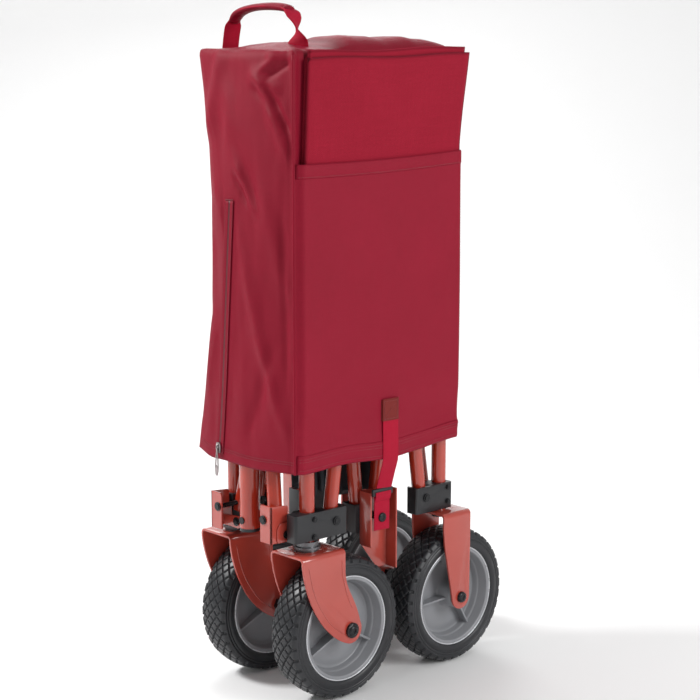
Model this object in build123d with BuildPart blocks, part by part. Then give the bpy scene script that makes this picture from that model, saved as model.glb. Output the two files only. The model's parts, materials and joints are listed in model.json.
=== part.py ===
from build123d import *
import os
from math import cos, radians, sin, sqrt

os.makedirs("parts", exist_ok=True)

# A gather-folding garden wagon, folded upright on its four wheels in its storage cover.
# Millimetres. +X to the rear of the wagon, -Y its left side, +Z up, origin on the floor.

SIDES = (("left", -1), ("right", 1))
GAP = 0.3

# Wheels
WHEEL_R = 90
WHEEL_W = 46
RIM_R = 66
RIM_HALF = 19
AXLE_Z = WHEEL_R
FRONT_X = -96
REAR_X = 100
TRACK_HALF = 69
AXLE_R = 6
RUNNING = 0.05

# Forks and casters
FORK_IN = 27
FORK_SHEET = 3
FORK_OUT = FORK_IN + FORK_SHEET
FORK_TOP = 195
REAR_FORK_TOP = 206
BEARING_TOP = 207

# Frame tubes
POST_FRONT_X = -142.5
POST_REAR_X = 86.5
POST_R = 9.5
POST_TOP = 772
TUBE_R = 9
WALL = 1.5
RIVET_R = 3
RIVET_HEAD_R = 5.5
TUBE_TAIL = 11
OUTER_TUBE_Y = 69
INNER_TUBE_Y = 50.5
PIVOT_FRONT = (-105.7, 227)
PIVOT_REAR = (51, 229)
HUB_X = -28
HUB_PIVOT_X = (-42, -14)
HUB_BOTTOM_Z = 212
HUB_TOP_Z = 741
SLIDER_Z = 738
SLIDER_FRONT_X = -88
SLIDER_REAR_X = 45
CROSS_Y = 44
CROSS_FRONT_Z = (236, 742)
CROSS_REAR_Z = (222, 738)

# Pull handle
HANDLE_X = -175
HANDLE_R = 12.5
HANDLE_BORE = 10.5
HANDLE_BOTTOM = 216
HANDLE_TOP = 640
INNER_R = 9.5
INNER_BOTTOM = 300
INNER_TOP = 705

# Storage cover, outer faces
COVER_BOTTOM = 298
COVER_TOP = 795
COVER_WALL = 2
COVER_FRONT = -180
COVER_BULGE = 11
COVER_REAR = 103
COVER_LEFT = -84
COVER_RIGHT = 88
COVER_CORNER = 12

# Pocket and floor mat
POCKET_FACE = -98
POCKET_SHEET = 1.4
POCKET_TOP = 665
POCKET_BOTTOM = 300
MAT_WIDTH = 260
MAT_THICK = 11.4
MAT_BOTTOM = 376
MAT_TOP = 790
MAT_TILT = 2.5

# Zip, a straight run down the front face
ZIP_LOW_YZ = (38, 304)
ZIP_HIGH_YZ = (13, 618)
ZIP_TAPE_W = 15

# Strap
STRAP_X = -32
STRAP_W = 28
STRAP_T = 1.5
STRAP_BACK_Y = -84.2
SNAP_Z = 219
STRAP_PIVOT = (-89.2, 258.8)
STRAP_PIVOT_R = 1.5


def keep(piece, name):
    """Label a finished sub-part and write it."""
    piece.part.label = name
    export_step(piece.part, f"parts/{name}.step")


def rod(start, end, radius, bore=0.0, mode=Mode.ADD):
    """A round bar or tube between two points."""
    run = Vector(*end) - Vector(*start)
    with BuildSketch(Plane(origin=start, z_dir=run)) as section:
        Circle(radius)
        if bore:
            Circle(bore, mode=Mode.SUBTRACT)
    extrude(section.sketch, amount=run.length, mode=mode)


def block(low, high, mode=Mode.ADD):
    """An upright box between two opposite corners."""
    size = [b - a for a, b in zip(low, high)]
    middle = [(a + b) / 2 for a, b in zip(low, high)]
    with BuildSketch(Plane.XY.offset(low[2])) as base:
        with Locations((middle[0], middle[1])):
            Rectangle(size[0], size[1])
    extrude(base.sketch, amount=size[2], mode=mode)


def beyond(start, end, extra):
    """The point past end on the line from start, by extra."""
    a, b = Vector(*start), Vector(*end)
    return tuple(b + (b - a).normalized() * extra)


def scissor_tube(low, high, crossing, pin_axis):
    """A hollow scissor tube with a cross hole at each end and at its crossing."""
    with BuildPart() as tube:
        rod(beyond(high, low, TUBE_TAIL), beyond(low, high, TUBE_TAIL), TUBE_R, TUBE_R - WALL)
        for point in (low, high, crossing):
            reach = Vector(*pin_axis) * (TUBE_R + 2)
            near = Vector(*point) - reach
            far = Vector(*point) + reach
            rod(tuple(near), tuple(far), RIVET_R, mode=Mode.SUBTRACT)
    return tube


def rivet(start, end):
    """A rivet: a shank between two outer faces, with a low domed head beyond each."""
    rod(start, end, RIVET_R)
    rod(end, beyond(start, end, 1.5), RIVET_HEAD_R)
    rod(end, beyond(start, end, 2.4), RIVET_HEAD_R - 2)
    rod(start, beyond(end, start, 1.5), RIVET_HEAD_R)
    rod(start, beyond(end, start, 2.4), RIVET_HEAD_R - 2)


def along(low, high, share):
    """A point part of the way from low to high."""
    return tuple(a + (b - a) * share for a, b in zip(low, high))


def crossing_height(line_a, line_b):
    """Height at which two lines in the XZ plane have the same x."""
    (xa, za), (xb, zb) = line_a
    (xc, zc), (xd, zd) = line_b
    slope_a = (xb - xa) / (zb - za)
    slope_b = (xd - xc) / (zd - zc)
    return (xc - xa + slope_a * za - slope_b * zc) / (slope_a - slope_b)


# ---------------------------------------------------------------- wheels


def tyre(name, x, y):
    """Solid rubber tyre with rounded shoulders and a flat seat on the rim."""
    half = WHEEL_W / 2
    with BuildPart() as rubber:
        with BuildSketch(Plane(origin=(x, y, AXLE_Z), x_dir=(1, 0, 0), z_dir=(0, 0, 1))):
            with BuildLine():
                Polyline(
                    (RIM_R, -RIM_HALF), (RIM_R, RIM_HALF), (74, half), (81, half), (87.5, half - 4.5),
                )
                ThreePointArc((87.5, half - 4.5), (WHEEL_R, 0), (87.5, 4.5 - half))
                Polyline((87.5, 4.5 - half), (81, -half), (74, -half), (RIM_R, -RIM_HALF))
            make_face()
        revolve(axis=Axis((x, y, AXLE_Z), (0, 1, 0)))
    keep(rubber, name)


def wheel_hub(name, x, y, ribs=3):
    """Moulded hub: rim, deep dished web, radial ribs on both faces and a bored boss."""
    with BuildPart() as hub:
        with BuildSketch(Plane(origin=(x, y, AXLE_Z), x_dir=(1, 0, 0), z_dir=(0, 0, 1))):
            with BuildLine():
                Polyline(
                    (AXLE_R + RUNNING, -26), (16, -26), (17, -4), (40, -3), (58, -8), (60, -20), (64, -20.6),
                    (67, -20.6), (67, -RIM_HALF - 0.7), (RIM_R, -RIM_HALF), (RIM_R, RIM_HALF),
                    (67, RIM_HALF + 0.7), (67, 20.6), (64, 20.6), (60, 20), (58, -4), (40, 1), (17, 0),
                    (16, 26), (AXLE_R + RUNNING, 26), close=True,
                )
            make_face()
        revolve(axis=Axis((x, y, AXLE_Z), (0, 1, 0)))
        with BuildSketch(Plane(origin=(x, y - 16, AXLE_Z), x_dir=(1, 0, 0), z_dir=(0, 1, 0))) as spokes:
            with PolarLocations(37, ribs, start_angle=30):
                Rectangle(46, 3.5)
        extrude(spokes.sketch, amount=32)
    keep(hub, name)


for end_name, wheel_x in (("front", FRONT_X), ("rear", REAR_X)):
    for side, sign in SIDES:
        tyre(f"tyre_{end_name}_{side}", wheel_x, sign * TRACK_HALF)
        wheel_hub(f"wheel_hub_{end_name}_{side}", wheel_x, sign * TRACK_HALF)


# ---------------------------------------------------------------- forks and axles


def front_fork(side, y):
    """Pressed swivel fork: a top plate and two swept-back arms."""
    plate_front, plate_rear = -175, -106
    axle = (FRONT_X, AXLE_Z)
    with BuildPart() as fork:
        with BuildSketch(Plane.XZ.offset(-y)):
            with BuildLine():
                Polyline(
                    (plate_rear, 165), (plate_rear, FORK_TOP), (plate_front, FORK_TOP), (plate_front, 186),
                )
                Spline(
                    (plate_front, 186), (-168.7, 156), (-157.7, 129), (-138.4, 100.5), (-117, 81.6),
                    (-102, 74.1), tangents=((0.1, -1), (1, -0.38)),
                )
                ThreePointArc(
                    (-102, 74.1), (axle[0] + 17 * cos(radians(-25)), axle[1] + 17 * sin(radians(-25))),
                    (axle[0] + 17 * cos(radians(28)), axle[1] + 17 * sin(radians(28))),
                )
                Spline(
                    (axle[0] + 17 * cos(radians(28)), axle[1] + 17 * sin(radians(28))), (-86.5, 115),
                    (-97.5, 138), (plate_rear, 165), tangents=((-0.3, 1), (-0.1, 1)),
                )
            make_face()
        extrude(amount=FORK_OUT, both=True)
        fillet(fork.edges().filter_by(Axis.X).group_by(Axis.Z)[-1], radius=6)
        with BuildSketch(Plane.YZ.offset(-260)) as inside:
            with Locations((y, (FORK_TOP - FORK_SHEET) / 2)):
                Rectangle(2 * FORK_IN, FORK_TOP - FORK_SHEET)
            fillet(inside.vertices().group_by(Axis.Y)[-1], radius=3)
        extrude(amount=300, mode=Mode.SUBTRACT)
        rod((POST_FRONT_X, y, 180), (POST_FRONT_X, y, 200), AXLE_R + RUNNING, mode=Mode.SUBTRACT)
        rod((FRONT_X, y - 40, AXLE_Z), (FRONT_X, y + 40, AXLE_Z), AXLE_R, mode=Mode.SUBTRACT)
    keep(fork, f"caster_fork_{side}")


def rear_fork(side, y):
    """Pressed straight fork fixed under the rear post."""
    plate_front, plate_rear = 67, 117
    nose = 16
    axle = (REAR_X, AXLE_Z)
    with BuildPart() as fork:
        with BuildSketch(Plane.XZ.offset(-y)):
            with BuildLine():
                Polyline(
                    (axle[0] - nose, AXLE_Z), (plate_front + 2, 165), (plate_front, 185),
                    (plate_front, REAR_FORK_TOP), (plate_rear, REAR_FORK_TOP), (axle[0] + nose, AXLE_Z),
                )
                ThreePointArc((axle[0] + nose, AXLE_Z), (axle[0], AXLE_Z - nose), (axle[0] - nose, AXLE_Z))
            make_face()
        extrude(amount=FORK_OUT, both=True)
        fillet(fork.edges().filter_by(Axis.X).group_by(Axis.Z)[-1], radius=6)
        with BuildSketch(Plane.YZ) as inside:
            with Locations((y, (REAR_FORK_TOP - FORK_SHEET) / 2)):
                Rectangle(2 * FORK_IN, REAR_FORK_TOP - FORK_SHEET)
            fillet(inside.vertices().group_by(Axis.Y)[-1], radius=3)
        extrude(amount=200, mode=Mode.SUBTRACT)
        rod((POST_REAR_X, y, 195), (POST_REAR_X, y, 210), AXLE_R, mode=Mode.SUBTRACT)
        rod((REAR_X, y - 40, AXLE_Z), (REAR_X, y + 40, AXLE_Z), AXLE_R, mode=Mode.SUBTRACT)
    keep(fork, f"rear_fork_{side}")


def axle_bolt(x, y, sign, cap_r, cap_h):
    """An axle bolt with its cap on the outer arm and a nut on the inner arm."""
    outer, inner = y + sign * FORK_OUT, y - sign * FORK_OUT
    rod((x, inner, AXLE_Z), (x, outer, AXLE_Z), AXLE_R)
    rod((x, outer, AXLE_Z), (x, outer + sign * cap_h * 0.6, AXLE_Z), cap_r)
    rod((x, outer, AXLE_Z), (x, outer + sign * cap_h, AXLE_Z), cap_r - 2.5)
    with BuildSketch(Plane(origin=(x, inner, AXLE_Z), x_dir=(1, 0, 0), z_dir=(0, -sign, 0))) as nut:
        RegularPolygon(9.5, 6)
    extrude(nut.sketch, amount=5)


for side, sign in SIDES:
    front_fork(side, sign * TRACK_HALF)
    rear_fork(side, sign * TRACK_HALF)
    with BuildPart() as caster_axle:
        axle_bolt(FRONT_X, sign * TRACK_HALF, sign, 9.5, 4.5)
    keep(caster_axle, f"caster_axle_{side}")

with BuildPart() as rear_axles:
    for side, sign in SIDES:
        axle_bolt(REAR_X, sign * TRACK_HALF, sign, 7, 3.5)
keep(rear_axles, "rear_axle_bolts")

# The kingpin hangs the caster fork on the front post: a nut below the plate, a plug in the post.
with BuildPart() as kingpins:
    for side, sign in SIDES:
        pin = (POST_FRONT_X, sign * TRACK_HALF)
        rod((*pin, 184), (*pin, BEARING_TOP), AXLE_R)
        rod((*pin, 184), (*pin, FORK_TOP - FORK_SHEET - GAP), 9)
        rod((*pin, BEARING_TOP), (*pin, 238), POST_R - WALL)
    # The rear fork is bolted under the rear post in the same way, without the bearing.
    for side, sign in SIDES:
        pin = (POST_REAR_X, sign * TRACK_HALF)
        rod((*pin, REAR_FORK_TOP - FORK_SHEET - 6), (*pin, REAR_FORK_TOP - FORK_SHEET), 9)
        rod((*pin, REAR_FORK_TOP - FORK_SHEET), (*pin, REAR_FORK_TOP), AXLE_R)
        rod((*pin, REAR_FORK_TOP), (*pin, 238), POST_R - WALL)
keep(kingpins, "post_bolts")

with BuildPart() as bearings:
    for side, sign in SIDES:
        pin = (POST_FRONT_X, sign * TRACK_HALF)
        rod((*pin, FORK_TOP + GAP), (*pin, BEARING_TOP), 14, AXLE_R)
        rod((*pin, FORK_TOP + 3), (*pin, FORK_TOP + 6), 17, AXLE_R)
keep(bearings, "swivel_bearings")

# ---------------------------------------------------------------- posts and scissor tubes

POSTS = (("front", POST_FRONT_X, BEARING_TOP), ("rear", POST_REAR_X, REAR_FORK_TOP))
for end_name, post_x, post_low in POSTS:
    for side, sign in SIDES:
        foot = (post_x, sign * TRACK_HALF)
        with BuildPart() as post:
            rod((*foot, post_low), (*foot, POST_TOP), POST_R, POST_R - WALL)
        keep(post, f"post_{end_name}_{side}")

with BuildPart() as post_caps:
    for post_x in (POST_FRONT_X, POST_REAR_X):
        for side, sign in SIDES:
            head = (post_x, sign * TRACK_HALF)
            rod((*head, POST_TOP - 12), (*head, POST_TOP), POST_R - WALL)
            rod((*head, POST_TOP), (*head, POST_TOP + 3), POST_R)
keep(post_caps, "post_caps")

# Each long side has two crossed pairs. The outer tube of a pair stands on the corner bracket and
# ends in the top hub; the inner tube stands on the bottom hub and ends in the corner slider.
CELLS = (
    ((PIVOT_FRONT[0], PIVOT_FRONT[1]), (HUB_PIVOT_X[0], HUB_TOP_Z), (HUB_PIVOT_X[0], HUB_BOTTOM_Z),
     (SLIDER_FRONT_X, SLIDER_Z)),
    ((PIVOT_REAR[0], PIVOT_REAR[1]), (HUB_PIVOT_X[1], HUB_TOP_Z), (HUB_PIVOT_X[1], HUB_BOTTOM_Z),
     (SLIDER_REAR_X, SLIDER_Z)),
)

for side, sign in SIDES:
    for cell, (outer_low, outer_high, inner_low, inner_high) in enumerate(CELLS):
        cross_z = crossing_height((outer_low, outer_high), (inner_low, inner_high))
        share = (cross_z - outer_low[1]) / (outer_high[1] - outer_low[1])
        cross_x = outer_low[0] + share * (outer_high[0] - outer_low[0])
        tube_pairs = ((2 * cell + 1, outer_low, outer_high, OUTER_TUBE_Y),
                      (2 * cell + 2, inner_low, inner_high, INNER_TUBE_Y))
        for number, low, high, plane_y in tube_pairs:
            y = sign * plane_y
            ends = (low[0], y, low[1]), (high[0], y, high[1])
            tube = scissor_tube(*ends, (cross_x, y, cross_z), (0, 1, 0))
            keep(tube, f"side_tube_{side}_{number}")

# The front pair leans back from the handle brackets to the front sliders; the rear pair is upright.
FRONT_CROSS = (
    ((-171, -CROSS_Y, CROSS_FRONT_Z[0]), (-129, CROSS_Y, CROSS_FRONT_Z[1])),
    ((-152.3, CROSS_Y, CROSS_FRONT_Z[0]), (-110.3, -CROSS_Y, CROSS_FRONT_Z[1])),
)
REAR_CROSS = (
    ((84, -CROSS_Y, CROSS_REAR_Z[0]), (84, CROSS_Y, CROSS_REAR_Z[1])),
    ((65.5, CROSS_Y, CROSS_REAR_Z[0]), (65.5, -CROSS_Y, CROSS_REAR_Z[1])),
)
for name, pair in (("front_cross_tubes", FRONT_CROSS), ("rear_cross_tubes", REAR_CROSS)):
    with BuildPart() as cross_tubes:
        for low, high in pair:
            add(scissor_tube(low, high, along(low, high, 0.5), (1, 0, 0)).part)
    keep(cross_tubes, name)


# ---------------------------------------------------------------- brackets, hubs and sliders


def corner_bracket(sign, x_low, x_high, post_x, pivot, ear_x):
    """Moulded bracket: sleeve for the post, a slot for the side tube, an ear for a cross tube."""
    z_low, z_high = 209, 243
    outer, inner, sleeve = sign * 82, sign * 62.6, sign * 57.6
    post_y = sign * TRACK_HALF
    with BuildPart() as bracket:
        block((x_low, min(outer, inner), z_low), (x_high, max(outer, inner), z_high))
        block((post_x - 13, min(sleeve, outer), z_low), (post_x + 13, max(sleeve, outer), z_high))
        fillet(bracket.edges().filter_by(Axis.Z).group_by(Axis.X)[0], radius=4)
        fillet(bracket.edges().filter_by(Axis.Z).group_by(Axis.X)[-1], radius=4)
        slot_low, slot_high = sorted((sign * 78.5, sign * 55))
        slot = (pivot[0] - 13, slot_low, pivot[1] - 13), (pivot[0] + 14, slot_high, z_high + 1)
        block(*slot, Mode.SUBTRACT)
        rod((post_x, post_y, z_low), (post_x, post_y, z_high), POST_R, mode=Mode.SUBTRACT)
        pin_ends = (pivot[0], sign * 90, pivot[1]), (pivot[0], sign * 70, pivot[1])
        rod(*pin_ends, RIVET_R, mode=Mode.SUBTRACT)
        if ear_x:
            ear_low, ear_high = sorted((sign * 36, sign * 60))
            block((ear_x[0], ear_low, z_low), (ear_x[1], ear_high, z_high - 6))
            pin = (sign * CROSS_Y, CROSS_REAR_Z[0])
            rod((ear_x[0] - 1, *pin), (ear_x[1] + 1, *pin), RIVET_R, mode=Mode.SUBTRACT)
    return bracket.part


REAR_EARS = {"left": (93.2, 95.7), "right": (74.8, 77.3)}
with BuildPart() as front_brackets:
    for side, sign in SIDES:
        add(corner_bracket(sign, -171, -87, POST_FRONT_X, PIVOT_FRONT, None))
keep(front_brackets, "front_corner_brackets")

with BuildPart() as rear_brackets:
    for side, sign in SIDES:
        add(corner_bracket(sign, 33, 98.5, POST_REAR_X, PIVOT_REAR, REAR_EARS[side]))
keep(rear_brackets, "rear_corner_brackets")


def handle_bracket(sign):
    """Folded sheet bracket that holds the foot of a front cross tube beside the pull handle."""
    sheet = 2.5
    front_x, tab_rear, foot = -190, -156.7, 207.6
    front_low, front_high = sorted((sign * 37, sign * 58))
    side_low, side_high = sorted((sign * 55.5, sign * 58))
    tab_low, tab_high = sorted((sign * 57.8, sign * 60.1))
    ear_low, ear_high = sorted((sign * 21, sign * 55.6))
    with BuildPart() as bracket:
        block((front_x, front_low, foot), (front_x + sheet, front_high, 254))
        block((front_x, side_low, foot), (-163, side_high, 252))
        block((front_x, side_low, foot), (tab_rear, side_high, 232))
        block((-178, tab_low, foot), (tab_rear, tab_high, 232))
        block((-172, ear_low, foot), (-169.5, ear_high, 223))
        pin = (sign * CROSS_Y, CROSS_FRONT_Z[0])
        rod((front_x - 1, *pin), (front_x + 4, *pin), RIVET_R, mode=Mode.SUBTRACT)
        rod((-167, sign * 54, 217), (-167, sign * 62, 217), RIVET_R, mode=Mode.SUBTRACT)
        rod((-174, sign * 30, 216), (-168, sign * 30, 216), RIVET_R, mode=Mode.SUBTRACT)
    return bracket.part


with BuildPart() as handle_brackets:
    for side, sign in SIDES:
        add(handle_bracket(sign))
keep(handle_brackets, "handle_brackets")


def side_hub(z_low, z_high, sign, y_outer, y_inner, slot_y, pivot_z, opens_up):
    """Moulded hub with a slot for each of the two side tubes that meet in it."""
    low, high = sorted((sign * y_outer, sign * y_inner))
    block((HUB_X - 29, low, z_low), (HUB_X + 29, high, z_high))
    slot_low, slot_high = sorted((sign * (slot_y - 9.3), sign * (slot_y + 9.3)))
    for pivot_x in HUB_PIVOT_X:
        away = -1 if pivot_x < HUB_X else 1
        x_span = sorted((pivot_x - away * 11.5, pivot_x + away * 13))
        floor = pivot_z - 12 if opens_up else z_low - 1
        roof = z_high + 1 if opens_up else pivot_z + 12.5
        block((x_span[0], slot_low, floor), (x_span[1], slot_high, roof), Mode.SUBTRACT)
        rod((pivot_x, sign * 30, pivot_z), (pivot_x, sign * 90, pivot_z), RIVET_R, mode=Mode.SUBTRACT)


with BuildPart() as bottom_hubs:
    for side, sign in SIDES:
        side_hub(198, 234, sign, 64, 38.5, INNER_TUBE_Y, HUB_BOTTOM_Z, True)
keep(bottom_hubs, "bottom_hubs")

with BuildPart() as top_hubs:
    for side, sign in SIDES:
        side_hub(724, 757, sign, 79, 57.5, OUTER_TUBE_Y, HUB_TOP_Z, False)
keep(top_hubs, "top_hubs")


def corner_slider(sign, post_x, side_x, ear_x, cross_z):
    """Sleeve that rides on a post, with an ear for the side tube and one for the cross tube."""
    z_low, z_high = 724, 754
    post = (post_x, sign * TRACK_HALF)
    inward = 1 if side_x > post_x else -1
    rod((*post, z_low), (*post, z_high), 13, POST_R)
    plate_low, plate_high = sorted((sign * 60.2, sign * 62.6))
    x_low, x_high = sorted((post_x + inward * 9.5, side_x + inward * 9))
    block((x_low, plate_low, z_low), (x_high, plate_high, z_high))
    ear_low, ear_high = sorted((sign * 35, sign * 62.6))
    block((ear_x[0], ear_low, z_low), (ear_x[1], ear_high, z_high))
    rod((*post, z_low - 1), (*post, z_high + 1), POST_R, mode=Mode.SUBTRACT)
    rod((side_x, sign * 58, SLIDER_Z), (side_x, sign * 64, SLIDER_Z), RIVET_R, mode=Mode.SUBTRACT)
    pin = (sign * CROSS_Y, cross_z)
    rod((ear_x[0] - 1, *pin), (ear_x[1] + 1, *pin), RIVET_R, mode=Mode.SUBTRACT)


FRONT_SLIDER_EARS = {"left": (-123.8, -121.3), "right": (-142.5, -140)}
REAR_SLIDER_EARS = {"left": (74.8, 77.3), "right": (93.2, 95.7)}
with BuildPart() as sliders:
    for side, sign in SIDES:
        corner_slider(sign, POST_FRONT_X, SLIDER_FRONT_X, FRONT_SLIDER_EARS[side], CROSS_FRONT_Z[1])
        corner_slider(sign, POST_REAR_X, SLIDER_REAR_X, REAR_SLIDER_EARS[side], CROSS_REAR_Z[1])
keep(sliders, "corner_sliders")


# ---------------------------------------------------------------- centre legs, fabric and fasteners


def centre_leg(sign):
    """An outward-facing channel fixed to the bottom hub, its foot cut back beside the front tyre."""
    with BuildPart() as leg:
        with BuildSketch(Plane.XZ.offset(-sign * 64)):
            Polygon((-50, 252), (-4, 252), (-4, 148), (-22, 148), (-50, 184), align=None)
        extrude(amount=sign * -20)
        with BuildSketch(Plane.XZ.offset(-sign * 66)):
            Polygon((-48, 260), (-6, 260), (-6, 140), (-48, 140), align=None)
        extrude(amount=sign * -30, mode=Mode.SUBTRACT)
        for pivot_x in HUB_PIVOT_X:
            near, far = (pivot_x, sign * 60, HUB_BOTTOM_Z), (pivot_x, sign * 70, HUB_BOTTOM_Z)
            rod(near, far, RIVET_R, mode=Mode.SUBTRACT)
        if sign < 0:
            rod((STRAP_X, -70, 219), (STRAP_X, -60, 219), 2, mode=Mode.SUBTRACT)
    return leg.part


with BuildPart() as centre_legs:
    for side, sign in SIDES:
        add(centre_leg(sign))
keep(centre_legs, "centre_legs")

# The wagon's own fabric, gathered between the folded tubes.
with BuildPart() as tub:
    block((-97, -36.5, 240), (44, 36.5, 722))
    fillet(tub.edges().filter_by(Axis.Z), radius=14)
    fillet(tub.edges().group_by(Axis.Z)[-1], radius=8)
keep(tub, "fabric_tub")

with BuildPart() as side_rivets:
    for side, sign in SIDES:
        for pivot in (PIVOT_FRONT, PIVOT_REAR):
            rivet((pivot[0], sign * 60, pivot[1]), (pivot[0], sign * 82, pivot[1]))
        for pivot_x in HUB_PIVOT_X:
            rivet((pivot_x, sign * 38.5, HUB_BOTTOM_Z), (pivot_x, sign * 66, HUB_BOTTOM_Z))
            rivet((pivot_x, sign * 57.5, HUB_TOP_Z), (pivot_x, sign * 79, HUB_TOP_Z))
        for slider_x in (SLIDER_FRONT_X, SLIDER_REAR_X):
            rivet((slider_x, sign * 41.5, SLIDER_Z), (slider_x, sign * 62.6, SLIDER_Z))
        for outer_low, outer_high, inner_low, inner_high in CELLS:
            cross_z = crossing_height((outer_low, outer_high), (inner_low, inner_high))
            share = (cross_z - outer_low[1]) / (outer_high[1] - outer_low[1])
            cross_x = outer_low[0] + share * (outer_high[0] - outer_low[0])
            rivet((cross_x, sign * 41.5, cross_z), (cross_x, sign * 78, cross_z))
keep(side_rivets, "side_rivets")

# Each cross tube is pinned to its bracket or slider ear at both ends, and to its pair midway.
with BuildPart() as cross_rivets:
    face = TUBE_R + 0.6
    (a_low, a_high), (b_low, b_high) = [(low[0], high[0]) for low, high in FRONT_CROSS]
    rivet((-190, -CROSS_Y, CROSS_FRONT_Z[0]), (a_low + face, -CROSS_Y, CROSS_FRONT_Z[0]))
    rivet((-190, CROSS_Y, CROSS_FRONT_Z[0]), (b_low + face, CROSS_Y, CROSS_FRONT_Z[0]))
    rivet((-142.5, CROSS_Y, CROSS_FRONT_Z[1]), (a_high + face, CROSS_Y, CROSS_FRONT_Z[1]))
    rivet((-123.8, -CROSS_Y, CROSS_FRONT_Z[1]), (b_high + face, -CROSS_Y, CROSS_FRONT_Z[1]))
    middle = (0, (CROSS_FRONT_Z[0] + CROSS_FRONT_Z[1]) / 2)
    rod((-158.5, *middle), (-122, *middle), RIVET_R)
    rivet((75, -CROSS_Y, CROSS_REAR_Z[0]), (95.7, -CROSS_Y, CROSS_REAR_Z[0]))
    rivet((56.5, CROSS_Y, CROSS_REAR_Z[0]), (77.3, CROSS_Y, CROSS_REAR_Z[0]))
    rivet((75, CROSS_Y, CROSS_REAR_Z[1]), (95.7, CROSS_Y, CROSS_REAR_Z[1]))
    rivet((56.5, -CROSS_Y, CROSS_REAR_Z[1]), (77.3, -CROSS_Y, CROSS_REAR_Z[1]))
    rivet((56.5, 0, 480), (93, 0, 480))
    # The pull handle's own pin.
    rod((HANDLE_X - HANDLE_R, 0, 226), (-160, 0, 226), RIVET_R)
    rod((HANDLE_X - HANDLE_R - 1.4, 0, 226), (HANDLE_X - HANDLE_R, 0, 226), RIVET_HEAD_R - 1)
    rod((-160, 0, 226), (-158.2, 0, 226), RIVET_HEAD_R)
keep(cross_rivets, "cross_rivets")

# Screws that clamp the brackets to the posts, their heads on the outer faces.
with BuildPart() as screws:
    for side, sign in SIDES:
        for screw_x, screw_z in ((POST_FRONT_X + 1, 235), (POST_FRONT_X + 1, 213), (POST_REAR_X + 4, 237),
                                 (POST_REAR_X + 4, 218)):
            rod((screw_x, sign * 82, screw_z), (screw_x, sign * 83.6, screw_z), 3.6)
            rod((screw_x, sign * 82, screw_z), (screw_x, sign * 84.4, screw_z), 2.4)
        rod((-167, sign * 55.5, 217), (-167, sign * 60.1, 217), RIVET_R)
        rod((-167, sign * 60.1, 217), (-167, sign * 61.9, 217), RIVET_HEAD_R)
        rivet((-172, sign * 30, 216), (-160, sign * 30, 216))
keep(screws, "bracket_screws")


# ---------------------------------------------------------------- pull handle

with BuildPart() as handle_outer:
    rod((HANDLE_X, 0, HANDLE_BOTTOM), (HANDLE_X, 0, HANDLE_TOP), HANDLE_R, HANDLE_BORE)
    rod((HANDLE_X - 20, 0, 226), (HANDLE_X + 20, 0, 226), RIVET_R, mode=Mode.SUBTRACT)
keep(handle_outer, "handle_outer_tube")

with BuildPart() as handle_cap:
    rod((HANDLE_X, 0, HANDLE_BOTTOM - 4), (HANDLE_X, 0, HANDLE_BOTTOM), HANDLE_R)
    rod((HANDLE_X, 0, HANDLE_BOTTOM), (HANDLE_X, 0, HANDLE_BOTTOM + 6), HANDLE_BORE)
keep(handle_cap, "handle_end_cap")

with BuildPart() as handle_pivot:
    block((-162.5, -34, 209), (-160, 34, 236))
    fillet(handle_pivot.edges().filter_by(Axis.X), radius=6)
    for y in (-30, 0, 30):
        z = 216 if y else 226
        rod((-165, y, z), (-158, y, z), RIVET_R, mode=Mode.SUBTRACT)
keep(handle_pivot, "handle_pivot_plate")

with BuildPart() as collar:
    rod((HANDLE_X, 0, HANDLE_TOP), (HANDLE_X, 0, HANDLE_TOP + 12), HANDLE_R, INNER_R + RUNNING)
keep(collar, "handle_collar")

with BuildPart() as handle_inner:
    rod((HANDLE_X, 0, INNER_BOTTOM), (HANDLE_X, 0, INNER_TOP), INNER_R, INNER_R - WALL)
keep(handle_inner, "handle_inner_tube")

with BuildPart() as grip:
    with BuildSketch(Plane.YZ.offset(HANDLE_X - 9)) as loop:
        with BuildLine():
            Polyline((-13, 705), (-46, 742), (-46, 774), (46, 774), (46, 742), (13, 705), close=True)
        make_face()
        fillet(loop.vertices(), radius=7)
        with BuildLine():
            Polyline((-9, 727), (-29, 748), (-29, 759), (29, 759), (29, 748), (9, 727), close=True)
        make_face(mode=Mode.SUBTRACT)
    extrude(amount=18)
    fillet(grip.edges().filter_by(Plane.YZ), radius=2.5)
keep(grip, "handle_grip")


# ---------------------------------------------------------------- storage cover, pocket and mat


def cover_profile(shrink):
    """Plan outline of the cover, bulged at the front over the pull handle."""
    left, right = COVER_LEFT + shrink, COVER_RIGHT - shrink
    front, rear = COVER_FRONT + shrink, COVER_REAR - shrink
    middle = (COVER_LEFT + COVER_RIGHT) / 2
    with BuildSketch(Plane.XY.offset(COVER_BOTTOM)) as outline:
        with BuildLine():
            ThreePointArc((front, left), (front - COVER_BULGE, middle), (front, right))
            Polyline((front, right), (rear, right), (rear, left), (front, left))
        make_face()
        fillet(outline.vertices(), radius=COVER_CORNER - shrink)
    return outline.sketch


with BuildPart() as cover:
    extrude(cover_profile(0), amount=COVER_TOP - COVER_BOTTOM)
    fillet(cover.edges().group_by(Axis.Z)[-1], radius=5)
    extrude(cover_profile(COVER_WALL), amount=COVER_TOP - COVER_WALL - COVER_BOTTOM, mode=Mode.SUBTRACT)
keep(cover, "cover_shell")

with BuildPart() as pocket:
    block((-176, POCKET_FACE, POCKET_BOTTOM), (COVER_REAR, COVER_LEFT, POCKET_TOP))
    block(
        (-176 + POCKET_SHEET, POCKET_FACE + POCKET_SHEET, POCKET_BOTTOM + 2),
        (COVER_REAR - POCKET_SHEET, COVER_LEFT + 1, POCKET_TOP + 1), Mode.SUBTRACT,
    )
keep(pocket, "side_pocket")

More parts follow.
